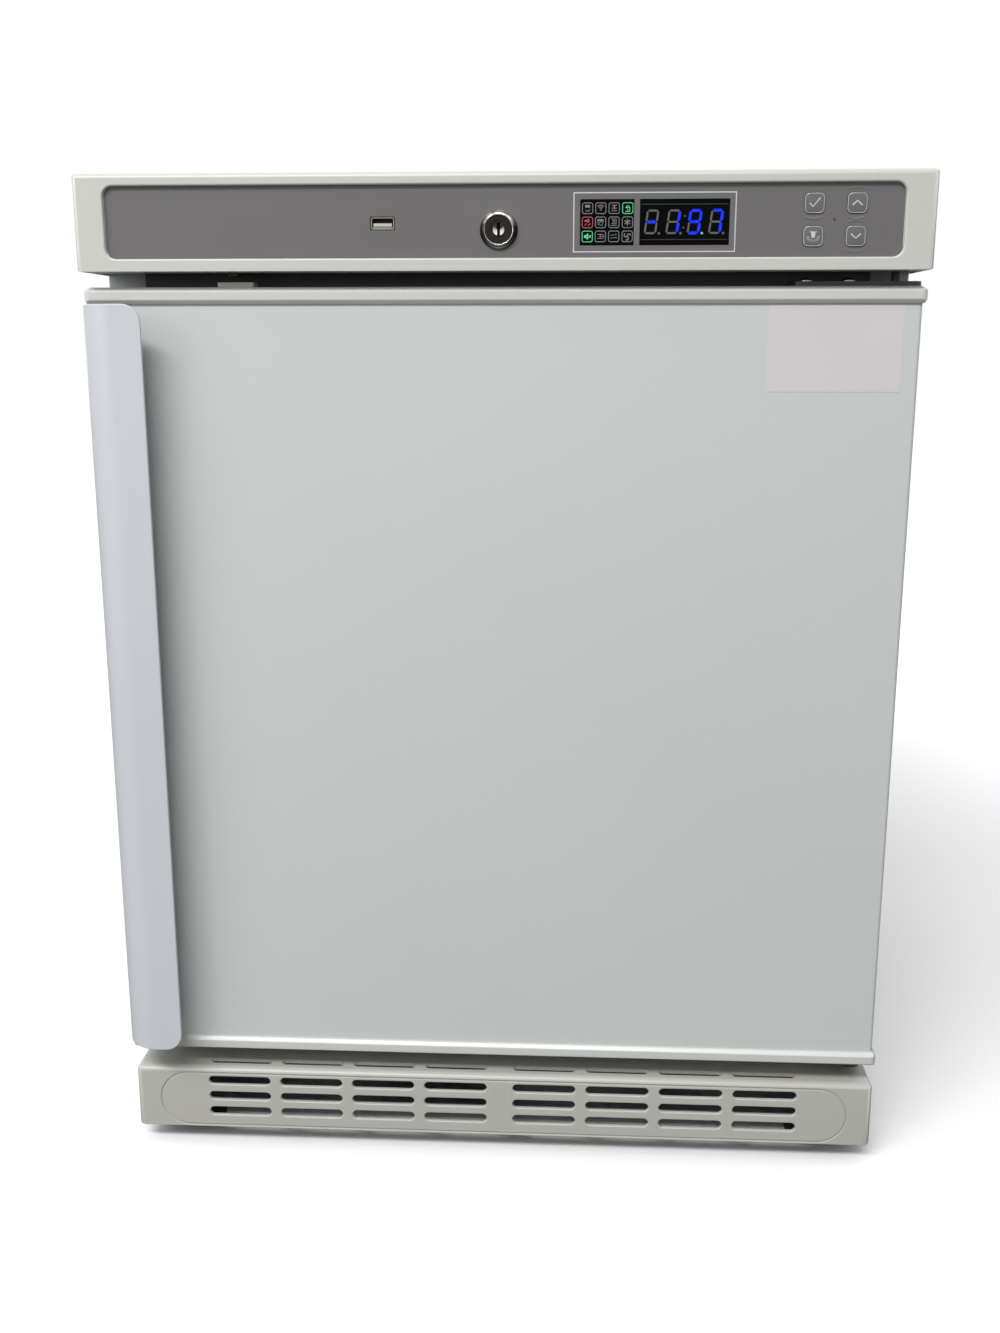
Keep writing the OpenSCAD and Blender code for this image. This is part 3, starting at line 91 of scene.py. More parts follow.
light = {
    "skyLow": 0.22,                    # level at the horizon
    "skyHigh": 0.82,                   # level overhead
    "floorHalf": 9.0,                  # metres
    "floorBounce": "#7C7C7A",          # the floor's colour to all but the camera
    "floorLift": 0.4,                  # keeps the far floor white in the camera,
    "liftFrom": 0.4,                   # from this distance, in metres,
    "liftTo": 1.6,                     # to this one
}
# metres and watts; the ceiling strip is long along X, so that upright edges throw soft
# shadows and level edges firm ones, and the side box lifts the left
ceilingStrip = {"place": (-0.95, -3.1, 3.6), "aim": (0.0, -0.26, 0.45), "long": 3.2, "short": 0.55,
                "power": 152.0}
sideBox = {"place": (-1.6, -1.3, 1.1), "aim": (-0.1, -0.26, 0.25), "long": 0.9, "short": 0.9,
           "power": 8.5}


def addLamp(name, lamp):
    data = bpy.data.lights.new(name, "AREA")
    data.energy = lamp["power"]
    data.shape = "RECTANGLE"
    data.size = lamp["long"]
    data.size_y = lamp["short"]
    holder = bpy.data.objects.new(name, data)
    place = Vector(lamp["place"])
    turn = (place - Vector(lamp["aim"])).to_track_quat("Z", "Y").to_matrix().to_4x4()
    holder.matrix_world = Matrix.Translation(place) @ turn
    holder.visible_camera = False
    scene.collection.objects.link(holder)


addLamp("ceilingStrip", ceilingStrip)
addLamp("sideBox", sideBox)

world = bpy.data.worlds.new("studioWorld")
scene.world = world
world.use_nodes = True
sky = world.node_tree
sky.nodes.clear()
path = addNode(sky, "ShaderNodeLightPath")
seen = addNode(sky, "ShaderNodeMath", {"operation": "MAXIMUM"},
               {0: path.outputs["Is Camera Ray"], 1: path.outputs["Is Glossy Ray"]})
seen = addNode(sky, "ShaderNodeMath", {"operation": "MAXIMUM"},
               {0: seen.outputs[0], 1: path.outputs["Is Transmission Ray"]})
height = addNode(sky, "ShaderNodeSeparateXYZ", None,
                 {"Vector": addNode(sky, "ShaderNodeTexCoord").outputs["Generated"]})
dome = addNode(sky, "ShaderNodeMapRange", None, {
    "Value": height.outputs["Z"], "To Min": light["skyLow"], "To Max": light["skyHigh"]})
level = addNode(sky, "ShaderNodeMix", {"data_type": "FLOAT"},
                {0: seen.outputs[0], 2: dome.outputs[0], 3: 1.0})
glow = addNode(sky, "ShaderNodeBackground", None,
               {"Color": linear("#FFFFFF"), "Strength": level.outputs[0]})
addNode(sky, "ShaderNodeOutputWorld", None, {"Surface": glow.outputs[0]})

floorMesh = bpy.data.meshes.new("floor")
sheet = bmesh.new()
bmesh.ops.create_grid(sheet, x_segments=8, y_segments=8, size=light["floorHalf"])
sheet.to_mesh(floorMesh)
sheet.free()
floor = bpy.data.objects.new("floor", floorMesh)
scene.collection.objects.link(floor)
floorPaint = bpy.data.materials.new("studioFloorPaint")      # matt white floor
floorPaint.use_nodes = True
tree = floorPaint.node_tree
path = addNode(tree, "ShaderNodeLightPath")
shade = addNode(tree, "ShaderNodeMix", {"data_type": "RGBA"}, {
    0: path.outputs["Is Camera Ray"], 6: linear(light["floorBounce"]), 7: linear("#FFFFFF")})
away = addNode(tree, "ShaderNodeVectorMath", {"operation": "LENGTH"},
               {0: addNode(tree, "ShaderNodeTexCoord").outputs["Object"]})
far = addNode(tree, "ShaderNodeMapRange", {"interpolation_type": "SMOOTHSTEP"}, {
    "Value": away.outputs["Value"], "From Min": light["liftFrom"], "From Max": light["liftTo"],
    "To Max": light["floorLift"]})
lift = addNode(tree, "ShaderNodeMath", {"operation": "MULTIPLY"},
               {0: path.outputs["Is Camera Ray"], 1: far.outputs[0]})
shader = tree.nodes["Principled BSDF"]
tree.links.new(shade.outputs[2], shader.inputs["Base Color"])
tree.links.new(lift.outputs[0], shader.inputs["Emission Strength"])
shader.inputs["Emission Color"].default_value = linear("#FFFFFF")
shader.inputs["Roughness"].default_value = 0.9
shader.inputs["Specular IOR Level"].default_value = 0.0
floorMesh.materials.append(floorPaint)
print("camera, lamps, sky and floor are set")


# finishes

def newFinish(name, roughness, metallic=0.0, **sockets):
    material = bpy.data.materials.new(name)
    material.use_nodes = True
    shader = material.node_tree.nodes["Principled BSDF"]
    shader.inputs["Roughness"].default_value = roughness
    shader.inputs["Metallic"].default_value = metallic
    for socket, value in sockets.items():
        shader.inputs[socket.replace("_", " ")].default_value = value
    return material, material.node_tree, shader


# An even finish: two close colours in soft patches, a fine grain in roughness and relief.
# patch and grain are sizes in mm, depth is the grain's height in mm, spread the roughness change.
def evenFinish(name, colours, roughness, patch, grain, depth, spread=0.06, metallic=0.0, **sockets):
    material, tree, shader = newFinish(name, roughness, metallic, **sockets)
    where = addNode(tree, "ShaderNodeTexCoord").outputs["Object"]
    cloud = addNode(tree, "ShaderNodeTexNoise", None,
                    {"Vector": where, "Scale": 1 / (patch * mm), "Detail": 3.0, "Roughness": 0.55})
    tint = addNode(tree, "ShaderNodeMix", {"data_type": "RGBA"},
                   {0: cloud.outputs["Fac"], 6: linear(colours[0]), 7: linear(colours[1])})
    speck = addNode(tree, "ShaderNodeTexNoise", None,
                    {"Vector": where, "Scale": 1 / (grain * mm), "Detail": 2.0, "Roughness": 0.5})
    gloss = addNode(tree, "ShaderNodeMapRange", None, {
        "Value": speck.outputs["Fac"], "To Min": max(roughness - spread, 0.02),
        "To Max": roughness + spread})
    relief = addNode(tree, "ShaderNodeBump", None,
                     {"Height": speck.outputs["Fac"], "Strength": 1.0, "Distance": depth * mm})
    tree.links.new(tint.outputs[2], shader.inputs["Base Color"])
    tree.links.new(gloss.outputs[0], shader.inputs["Roughness"])
    tree.links.new(relief.outputs[0], shader.inputs["Normal"])
    return material


# powder-coated steel sheet: baked polyester, faint orange peel 2.5 mm across
powderCoat = evenFinish("powderCoatedSteel", ("#C6CAC9", "#CACECD"), 0.36, 160, 2.5, 0.012, 0.05)
# warm white ABS of the canopy: spark-eroded mould skin, its grain drawn at 0.8 mm to show
canopyPlastic = evenFinish("mouldedAbsWarmWhite", ("#C4C4BE", "#C8C8C2"), 0.34, 120, 0.8, 0.0015,
                           0.02)
# the plinth's ABS is a shade greyer
plinthPlastic = evenFinish("mouldedAbsStoneWhite", ("#B7B7B0", "#BCBCB5"), 0.34, 120, 0.8, 0.0015,
                           0.02)
# extruded cap plastic: smoother and cooler than the mouldings
capPlastic = evenFinish("mouldedAbsCoolWhite", ("#CACAC8", "#CECECD"), 0.3, 90, 1.2, 0.002, 0.02)
# pressed aluminium grip, stoved enamel with a blue cast
gripEnamel = evenFinish("stovedEnamelGrip", ("#C5C9CE", "#CACED3"), 0.34, 140, 2.2, 0.002, 0.02)
# worktop laminate over board: fine pearl texture
worktopLaminate = evenFinish("pearlLaminate", ("#D2D2CD", "#D8D8D3"), 0.45, 70, 1.0, 0.02, 0.08)
# vacuum-formed polystyrene liner: glossy, stretched flat
linerPlastic = evenFinish("vacuumFormedPolystyrene", ("#E3E4E2", "#E8E9E7"), 0.22, 110, 3.5, 0.02,
                          0.05)
# epoxy-dipped wire and tube of the shelves
dippedWire = evenFinish("epoxyDippedWire", ("#E2E3E1", "#ECEDEB"), 0.3, 25, 1.5, 0.03, 0.08)
# dark enamel of the hinge steel
darkEnamel = evenFinish("darkEnamelledSteel", ("#343635", "#434544"), 0.42, 18, 0.8, 0.02, 0.1)
# black enamel of compressor and condenser, a little dusty
blackEnamel = evenFinish("blackEnamelledSteel", ("#151617", "#26282A"), 0.38, 30, 1.0, 0.03, 0.12)
# polyurethane foam between the skins: fine cells 1.2 mm
foamCore = evenFinish("polyurethaneFoam", ("#D8C98F", "#E6DCAE"), 0.9, 14, 1.2, 0.3, 0.05)
# injection-moulded black ABS
blackPlastic = evenFinish("mouldedBlackAbs", ("#161718", "#1E1F21"), 0.42, 40, 0.6, 0.015, 0.08)
# rubber of the feet and mounts
mountRubber = evenFinish("mouldedRubber", ("#1B1B1B", "#262625"), 0.75, 20, 0.8, 0.03, 0.08)
# soft grey PVC of the magnetic seal
sealPvc = evenFinish("extrudedSealPvc", ("#9A9C9C", "#A8AAAA"), 0.5, 40, 0.7, 0.012, 0.08)
# zinc-plated screws: pale blue passivated
zincPlate = evenFinish("zincPlatedSteel", ("#A4A8AA", "#B9BCBD"), 0.3, 4, 0.4, 0.006, 0.1, 1.0)
# drawn copper tube, browned by handling
copperTube = evenFinish("drawnCopperTube", ("#B06A42", "#C98A5E"), 0.34, 22, 0.8, 0.006, 0.12, 1.0)
# white nylon of the bush, switch block and striker
nylonWhite = evenFinish("mouldedNylon", ("#B9BAB8", "#C3C4C1"), 0.45, 15, 0.6, 0.01, 0.06)
# glass-fibre board under green resist
boardResist = evenFinish("greenSolderResist", ("#1E4A2C", "#27593A"), 0.35, 9, 0.9, 0.01, 0.08)
# nickel plate of the hidden lock parts
nickelPlate = evenFinish("nickelPlatedBrass", ("#8D8E90", "#A0A1A3"), 0.2, 6, 0.5, 0.002, 0.05, 1.0)
# die-cast face of the lock's plug, dark and rubbed
castZinc = evenFinish("rubbedDieCastZinc", ("#1E1B19", "#3E3A36"), 0.38, 1.6, 0.5, 0.03, 0.12, 1.0)
# smoked acrylic over the lamps: almost black, with little shine of its own
smokedAcrylic = evenFinish("smokedAcrylic", ("#050607", "#080A0A"), 0.3, 20, 2.0, 0.002, 0.03,
                           Specular_IOR_Level=0.03)
# paper of the service label, satin varnish
labelPaper = evenFinish("varnishedLabelPaper", ("#CFCBCE", "#D3CFD2"), 0.35, 30, 0.7, 0.004, 0.05)
# screen-printed pale ink on the fascia
paleInk = evenFinish("screenPrintedPaleInk", ("#C6C4C1", "#D0CECB"), 0.5, 10, 0.5, 0.003, 0.05)
# unlit lamp windows: grey-brown diffuser
dimDiffuser = evenFinish("unlitDiffuser", ("#56504B", "#645E58"), 0.4, 5, 0.5, 0.003, 0.05)
# grey print of the unlit signs
iconInk = evenFinish("greyIconInk", ("#707274", "#86888A"), 0.45, 4, 0.5, 0.003, 0.05)
# dark edge of the display module behind the acrylic
moduleTrim = evenFinish("darkModuleTrim", ("#20282A", "#283032"), 0.5, 6, 0.5, 0.003, 0.05)


# galvanised sheet: zinc crystals about 9 mm across, each with its own grey
def galvanisedSheet():
    material, tree, shader = newFinish("galvanisedSteel", 0.38, 1.0)
    where = addNode(tree, "ShaderNodeTexCoord").outputs["Object"]
    bent = addNode(tree, "ShaderNodeTexNoise", None,
                   {"Vector": where, "Scale": 1 / (12 * mm), "Detail": 2.0})
    spangle = addNode(tree, "ShaderNodeTexVoronoi", {"feature": "F1"},
                      {"Vector": where, "Scale": 1 / (9 * mm)})
    mixed = addNode(tree, "ShaderNodeMath", {"operation": "MULTIPLY_ADD"},
                    {0: bent.outputs["Fac"], 1: 0.5, 2: 0.1})
    facet = addNode(tree, "ShaderNodeSeparateColor", None, {"Color": spangle.outputs["Color"]})
    both = addNode(tree, "ShaderNodeMath", {"operation": "MULTIPLY_ADD"},
                   {0: facet.outputs[0], 1: 0.4, 2: mixed.outputs[0]})
    tint = addNode(tree, "ShaderNodeMix", {"data_type": "RGBA"},
                   {0: both.outputs[0], 6: linear("#8F9396"), 7: linear("#BCC0C2")})
    gloss = addNode(tree, "ShaderNodeMapRange", None,
                    {"Value": facet.outputs[1], "To Min": 0.3, "To Max": 0.48})
    tree.links.new(tint.outputs[2], shader.inputs["Base Color"])
    tree.links.new(gloss.outputs[0], shader.inputs["Roughness"])
    return material


zincSheet = galvanisedSheet()


# lit lamp behind a diffuser: it glows at about its own colour
def litLamp(name, edge, core, strength):
    material, tree, shader = newFinish(name, 0.4, Specular_IOR_Level=0.1)
    where = addNode(tree, "ShaderNodeTexCoord").outputs["Object"]
    bloom = addNode(tree, "ShaderNodeTexNoise", None,
                    {"Vector": where, "Scale": 1 / (2.5 * mm), "Detail": 1.0})
    tint = addNode(tree, "ShaderNodeMix", {"data_type": "RGBA"},
                   {0: bloom.outputs["Fac"], 6: linear(edge), 7: linear(core)})
    shader.inputs["Base Color"].default_value = linear("#080808")
    tree.links.new(tint.outputs[2], shader.inputs["Emission Color"])
    shader.inputs["Emission Strength"].default_value = strength
    return material


blueLamp = litLamp("litBlueDiffuser", "#0A12F6", "#1C4CFF", 1.0)
greenLamp = litLamp("litGreenDiffuser", "#4ED884", "#86F2AC", 0.9)
redLamp = litLamp("litRedDiffuser", "#B8545C", "#D87078", 0.8)
whiteLamp = litLamp("litPaleDiffuser", "#6FA0F8", "#A8CCFF", 1.0)

print("finishes are mixed:", len(bpy.data.materials))


# mesh helpers

faceY = -264.6                   # face of the fascia film, mm


def pieceFrom(shape, name, material, body, smooth=30.0):
    mesh = bpy.data.meshes.new(name)
    shape.to_mesh(mesh)
    shape.free()
    mesh.materials.append(material)
    mesh.polygons.foreach_set("use_smooth", [True] * len(mesh.polygons))
    mesh.set_sharp_from_angle(angle=math.radians(smooth))
    piece = bpy.data.objects.new(name, mesh)
    scene.collection.objects.link(piece)
    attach(piece, body)
    return piece


# A CAD piece with its sharp edges eased: a merged copy, its flat faces joined, then a bevel for
# each cut, which is a width in mm, a number of segments and a test for the places of both ends.
def easedCopy(node, name, material, body, cuts, sharpest=25):
    shape = bmesh.new()
    shape.from_mesh(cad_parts[node].data)
    bmesh.ops.remove_doubles(shape, verts=shape.verts, dist=0.002 * mm)
    bmesh.ops.dissolve_limit(shape, angle_limit=math.radians(0.5), verts=shape.verts,
                             edges=shape.edges)
    for part in shape.faces:
        part.material_index = 0
    for width, segments, chosen in cuts:
        edges = [e for e in shape.edges if len(e.link_faces) == 2
                 and e.calc_face_angle() > math.radians(sharpest)
                 and all(chosen(*(v.co / mm)) for v in e.verts)]
        bmesh.ops.bevel(shape, geom=edges, offset=width * mm, offset_type="OFFSET",
                        segments=segments, profile=0.5, affect="EDGES", material=-1,
                        clamp_overlap=False)
    piece = pieceFrom(shape, name, material, body, 38)
    even = piece.modifiers.new("evenNormals", "WEIGHTED_NORMAL")
    even.keep_sharp = True
    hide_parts(node)


# Rounded rectangle as one face in the front plane
def roundedFace(shape, x, z, wide, high, radius, y, segments=6):
    corners = [shape.verts.new(Vector((x + sx * wide / 2, y, z + sz * high / 2)) * mm)
               for sx, sz in ((-1, -1), (1, -1), (1, 1), (-1, 1))]
    face = shape.faces.new(corners)
    bmesh.ops.bevel(shape, geom=list(face.verts), offset=radius * mm, offset_type="OFFSET",
                    segments=segments, profile=0.5, affect="VERTICES", material=-1)


# Everything flat in the shape pulled forward into a plate
def raised(shape, thick):
    made = bmesh.ops.extrude_face_region(shape, geom=list(shape.faces))
    moved = [v for v in made["geom"] if isinstance(v, bmesh.types.BMVert)]
    bmesh.ops.translate(shape, verts=moved, vec=(0, -thick * mm, 0))
    bmesh.ops.recalc_face_normals(shape, faces=shape.faces)


# Turned part: a closed profile of radius and y, spun about a line along Y
def turnedPart(shape, x, z, profile):
    ring = [shape.verts.new(Vector((x + r, y, z)) * mm) for r, y in profile]
    edges = [shape.edges.new(pair) for pair in zip(ring, ring[1:] + ring[:1])]
    bmesh.ops.spin(shape, geom=ring + edges, cent=Vector((x, 0, z)) * mm, axis=(0, 1, 0),
                   angle=math.radians(360), steps=48, use_merge=True)
    bmesh.ops.remove_doubles(shape, verts=shape.verts, dist=0.001 * mm)
    bmesh.ops.recalc_face_normals(shape, faces=shape.faces)


# Drawn stroke: a flattened round line through points of the front plane
def stroke(shape, points, width, y, thick, closed=False):
    curve = bpy.data.curves.new("stroke", "CURVE")
    curve.dimensions = "3D"
    line = curve.splines.new("POLY")
    line.points.add(len(points) - 1)
    for spot, (x, z) in zip(line.points, points):
        spot.co = (x * mm, 0, z * mm, 1)
    line.use_cyclic_u = closed
    curve.bevel_depth = width / 2 * mm
    curve.bevel_resolution = 2
    curve.use_fill_caps = True
    holder = bpy.data.objects.new("stroke", curve)
    mesh = bpy.data.meshes.new_from_object(holder)
    flatten = Matrix.Diagonal((1, thick * 2 / width, 1, 1))
    mesh.transform(Matrix.Translation((0, y * mm, 0)) @ flatten)
    shape.from_mesh(mesh)
    bpy.data.objects.remove(holder)
    bpy.data.curves.remove(curve)
    bpy.data.meshes.remove(mesh)


def polar(radius, turn):         # degrees from the right, anticlockwise
    return radius * math.cos(math.radians(turn)), radius * math.sin(math.radians(turn))


def arc(x, z, radius, start, end, count):
    steps = [polar(radius, start + (end - start) * i / count) for i in range(count + 1)]
    return [(x + dx, z + dz) for dx, dz in steps]


# Points round a rectangle with round corners
def roundedLoop(x, z, wide, high, radius, count=4):
    points = []
    for sx, sz, start in ((1, 1, 0), (-1, 1, 90), (-1, -1, 180), (1, -1, 270)):
        points += arc(x + sx * (wide / 2 - radius), z + sz * (high / 2 - radius), radius,
                      start, start + 90, count)
    return points


# finishes of the CAD nodes that stay

dressing = [
    (powderCoat, "side_panel_left side_panel_right bottom_rail door_skin"),
    (zincSheet, "top_panel back_panel base_pan bay_panel"),
    (zincPlate, "usb_socket bracket_screws hinge_plate_screws handle_screws lock_tongue"),
    (nickelPlate, "lock_nut lock_body"),
    (castZinc, "lock_plug"),
    (darkEnamel, "top_rail top_hinge_bracket bottom_hinge_bracket hinge_plate"),
    (blackEnamel, "compressor condenser"),
    (copperTube, "filter_drier refrigerant_pipes"),
    (foamCore, "cabinet_foam door_foam"),
    (linerPlastic, "inner_liner door_inner_panel"),
    (dippedWire, "evaporator_shelf_1 evaporator_shelf_2 evaporator_shelf_3 evaporator_risers"),
    (smokedAcrylic, "icon_window number_window"),
    (boardResist, "control_board"),
    (blackPlastic, "door_sensor terminal_cover condenser_standoffs mains_box power_inlet"),
    (blackPlastic, "wall_spacers"),
    (mountRubber, "compressor_mounts foot_front_left foot_front_right"),
    (mountRubber, "foot_rear_left foot_rear_right"),
    (sealPvc, "door_gasket"),
    (nylonWhite, "door_magnet hinge_bush"),
    (capPlastic, "door_top_cap door_bottom_cap key_confirm key_lamp key_up key_down"),
    (canopyPlastic, "canopy"),
    (plinthPlastic, "plinth_grille"),
    (worktopLaminate, "worktop"),
    (gripEnamel, "door_handle"),
]
for material, names in dressing:
    for node in names.split():
        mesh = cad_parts[node].data
        mesh.materials.clear()
        mesh.materials.append(material)
print("CAD nodes are dressed")


# canopy, plinth, door caps, handle, worktop: eased copies

# widths of the eased edges and the limits between which they lie, mm
canopyEase = {"recess": 1.3, "front": -267.6, "end": 255, "low": 634, "high": 681}
plinthEase = {"slot": 0.9, "groove": 0.3, "rim": 0.5, "front": -256.3, "slotsEnd": 217,
              "slotsLow": 23, "slotsHigh": 56, "foot": 14.1}
capEase = {"edge": 0.5, "front": -255.9, "side": 267.8}
gripEase = {"edge": 0.7, "behind": -255.7}
worktopEase = {"edge": 1.2}


def onFront(y, ease):
    return y < ease["front"] + 0.02


def bySlots(x, z):
    return abs(x) < plinthEase["slotsEnd"] and plinthEase["slotsLow"] < z < plinthEase["slotsHigh"]


easedCopy("canopy", "canopyMoulding", canopyPlastic, "cabinet", [
    (canopyEase["recess"], 4, lambda x, y, z: onFront(y, canopyEase)
     and abs(x) < canopyEase["end"] and canopyEase["low"] < z < canopyEase["high"])])
easedCopy("plinth_grille", "plinthMoulding", plinthPlastic, "cabinet", [
    (plinthEase["slot"], 4, lambda x, y, z: onFront(y, plinthEase) and bySlots(x, z)),
    (plinthEase["groove"], 2, lambda x, y, z: onFront(y, plinthEase) and not bySlots(x, z)
     and z > plinthEase["foot"]),
    (plinthEase["rim"], 3, lambda x, y, z: z < plinthEase["foot"])])
easedCopy("worktop", "worktopBoard", worktopLaminate, "cabinet", [
    (worktopEase["edge"], 4, lambda x, y, z: True)])
for node, name in (("door_top_cap", "doorTopCap"), ("door_bottom_cap", "doorLowCap")):
    easedCopy(node, name, capPlastic, "door", [
        (capEase["edge"], 3, lambda x, y, z: y < capEase["front"] or abs(x) > capEase["side"])])
easedCopy("door_handle", "doorGrip", gripEnamel, "door", [
    (gripEase["edge"], 3, lambda x, y, z: y < gripEase["behind"])])
print("mouldings eased")


# fascia film with a soft swelling round each key

keyPlaces = {"key_confirm": (195.1, 667.6), "key_lamp": (195.1, 648.0),
             "key_up": (221.2, 667.6), "key_down": (221.2, 648.0)}
film = {
    "colours": ("#636162", "#676566"),
    "cloud": 80, "velvet": 0.7, "depth": 0.006,      # sizes of the pattern, mm
    "ring": 9.3, "width": 1.3, "rise": 0.16,         # the swelling: radius, width, height
    "from": 0.8, "full": 0.95,                       # how far up or down it sets in, in radii
}
# the film is creased above (1) or below (-1) the keys
creases = (("key_confirm", -1), ("key_up", 1), ("key_up", -1), ("key_down", 1), ("key_down", -1))


# velvet polycarbonate film: an even dull sheen over fine grain
def fasciaFilm():
    material, tree, shader = newFinish("velvetPolycarbonateFilm", 0.42)
    where = addNode(tree, "ShaderNodeTexCoord").outputs["Object"]
    cloud = addNode(tree, "ShaderNodeTexNoise", None,
                    {"Vector": where, "Scale": 1 / (film["cloud"] * mm), "Detail": 2.0})
    tint = addNode(tree, "ShaderNodeMix", {"data_type": "RGBA"}, {
        0: cloud.outputs["Fac"], 6: linear(film["colours"][0]), 7: linear(film["colours"][1])})
    velvet = addNode(tree, "ShaderNodeTexNoise", None,
                     {"Vector": where, "Scale": 1 / (film["velvet"] * mm), "Detail": 2.0})
    height = addNode(tree, "ShaderNodeMath", {"operation": "MULTIPLY"},
                     {0: velvet.outputs["Fac"], 1: film["depth"]}).outputs[0]
    for name, side in creases:
        x, z = keyPlaces[name]
        off = addNode(tree, "ShaderNodeVectorMath", {"operation": "SUBTRACT"},
                      {0: where, 1: (x * mm, faceY * mm, z * mm)})
        away = addNode(tree, "ShaderNodeVectorMath", {"operation": "LENGTH"}, {0: off.outputs[0]})
        away = addNode(tree, "ShaderNodeMath", {"operation": "SUBTRACT"},
                       {0: away.outputs["Value"], 1: film["ring"] * mm})
        away = addNode(tree, "ShaderNodeMath", {"operation": "ABSOLUTE"}, {0: away.outputs[0]})
        fold = addNode(tree, "ShaderNodeMapRange", {"interpolation_type": "SMOOTHSTEP"}, {
            "Value": away.outputs[0], "From Min": 0.0, "From Max": film["width"] * mm,
            "To Min": film["rise"], "To Max": 0.0})
        rise = addNode(tree, "ShaderNodeSeparateXYZ", None, {"Vector": off.outputs[0]})
        part = addNode(tree, "ShaderNodeMapRange", {"interpolation_type": "SMOOTHSTEP"}, {
            "Value": rise.outputs["Z"], "From Min": film["from"] * side * film["ring"] * mm,
            "From Max": film["full"] * side * film["ring"] * mm})
        height = addNode(tree, "ShaderNodeMath", {"operation": "MULTIPLY_ADD"},
                         {0: fold.outputs[0], 1: part.outputs[0], 2: height}).outputs[0]
    relief = addNode(tree, "ShaderNodeBump", None,
                     {"Height": height, "Strength": 1.0, "Distance": 1 * mm})
    tree.links.new(tint.outputs[2], shader.inputs["Base Color"])
    tree.links.new(relief.outputs[0], shader.inputs["Normal"])
    return material


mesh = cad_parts["fascia_panel"].data
mesh.materials.clear()
mesh.materials.append(fasciaFilm())

# keys: caps under printed film, the grey of the fascia, with a pale rim that is a painted highlight
# of the key's edge
keyFilm = evenFinish("printedKeyFilm", ("#626061", "#686667"), 0.22, 20, 0.6, 0.004, 0.05)
# the rim's pale colour is a painted highlight
rimPaintedHighlight = evenFinish("keyRimPaintedHighlight", ("#B4B2B1", "#C0BEBD"), 0.2, 5, 0.5, 0.004, 0.05)
key = {
    "size": 12.0, "radius": 3.0, "edge": 0.7,
    "proud": 0.9, "behind": 1.0,       # in front of the film's face and behind it
    "rim": 0.5, "rimThick": 0.22, "rimSunk": 0.2,
    "line": 0.75, "ink": 0.06,         # width and thickness of the printed signs
}


def keyPiece(name, x, z):
    shape = bmesh.new()
    roundedFace(shape, x, z, key["size"], key["size"], key["radius"], faceY + key["behind"])
    raised(shape, key["proud"] + key["behind"])
    front = [e for e in shape.edges
             if all(abs(v.co.y - (faceY - key["proud"]) * mm) < 1e-6 for v in e.verts)]
    bmesh.ops.bevel(shape, geom=front, offset=key["edge"] * mm, offset_type="OFFSET", segments=4,
                    profile=0.5, affect="EDGES", material=-1)
    cap = pieceFrom(shape, name + "Cap", keyFilm, name, 50)
    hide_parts(name)
    # the rim: a pale stroke round the cap, a painted highlight of its eased edge
    rim = bmesh.new()
    size = key["size"] - key["rim"]
    stroke(rim, roundedLoop(x, z, size, size, key["radius"] - key["rim"] / 2, 6), key["rim"],
           faceY - key["proud"] + key["rimSunk"], key["rimThick"], closed=True)
    pieceFrom(rim, name + "Rim", rimPaintedHighlight, name)


for name, (x, z) in keyPlaces.items():
    keyPiece(name, x, z)

# signs on the keys: strokes about the key's centre, each a width and its points
lampRays = [184 + i * 21.5 for i in range(9)]
keySigns = {
    "tickSign": ("key_confirm", [(key["line"], [(-3.1, 0.1), (-1.1, -2.1), (3.4, 3.1)])]),
    "chevronUp": ("key_up", [(key["line"], [(-3.0, -1.35), (0, 1.35), (3.0, -1.35)])]),
    "chevronDown": ("key_down", [(key["line"], [(-3.0, 1.35), (0, -1.35), (3.0, 1.35)])]),
    "lampSign": ("key_lamp", [
        (0.5, [(-2.2, 2.5), (2.2, 2.5)]), (2.5, [(0, 2.4), (0, 0.3)]),
        (1.2, arc(0, 0.2, 0.65, 180, 360, 8))] + [
        (0.3, [(polar(2.6, t)[0], polar(1.8, t)[1] - 0.2),
               (polar(4.2, t)[0], polar(3.3, t)[1] - 0.2)]) for t in lampRays]),
}
for sign, (name, lines) in keySigns.items():
    x, z = keyPlaces[name]
    shape = bmesh.new()
    for width, points in lines:
        stroke(shape, [(x + dx, z + dz) for dx, dz in points], width,
               faceY - key["proud"] - 0.01, key["ink"])
    pieceFrom(shape, sign, paleInk, name)
print("keys are in")


# lock: chrome ring with a thin lip, and the plug's dished face with its key funnel

lock = {
    "x": 0.0, "z": 652.5,
    "bore": 8.7, "neck": 9.5, "back": -241.0,        # radii of the sleeve, and its rear end
    # the ring from its edge to its bore: radius and height over the film
    "slope": ((11.9, 0), (11.9, 0.5), (11.65, 0.95), (10.5, 2.6), (10.1, 2.95), (9.7, 3.05),
              (8.7, 2.9)),
    "lip": 8.95, "lipThick": 0.3, "lipY": -267.6,
    # the key funnel: radius and y, and half the keyway's width
    "funnel": ((1.0, -266.75), (3.2, -267.15), (3.55, -267.1), (3.55, -266.5), (1.0, -266.5)),
    "slot": 0.95,
}
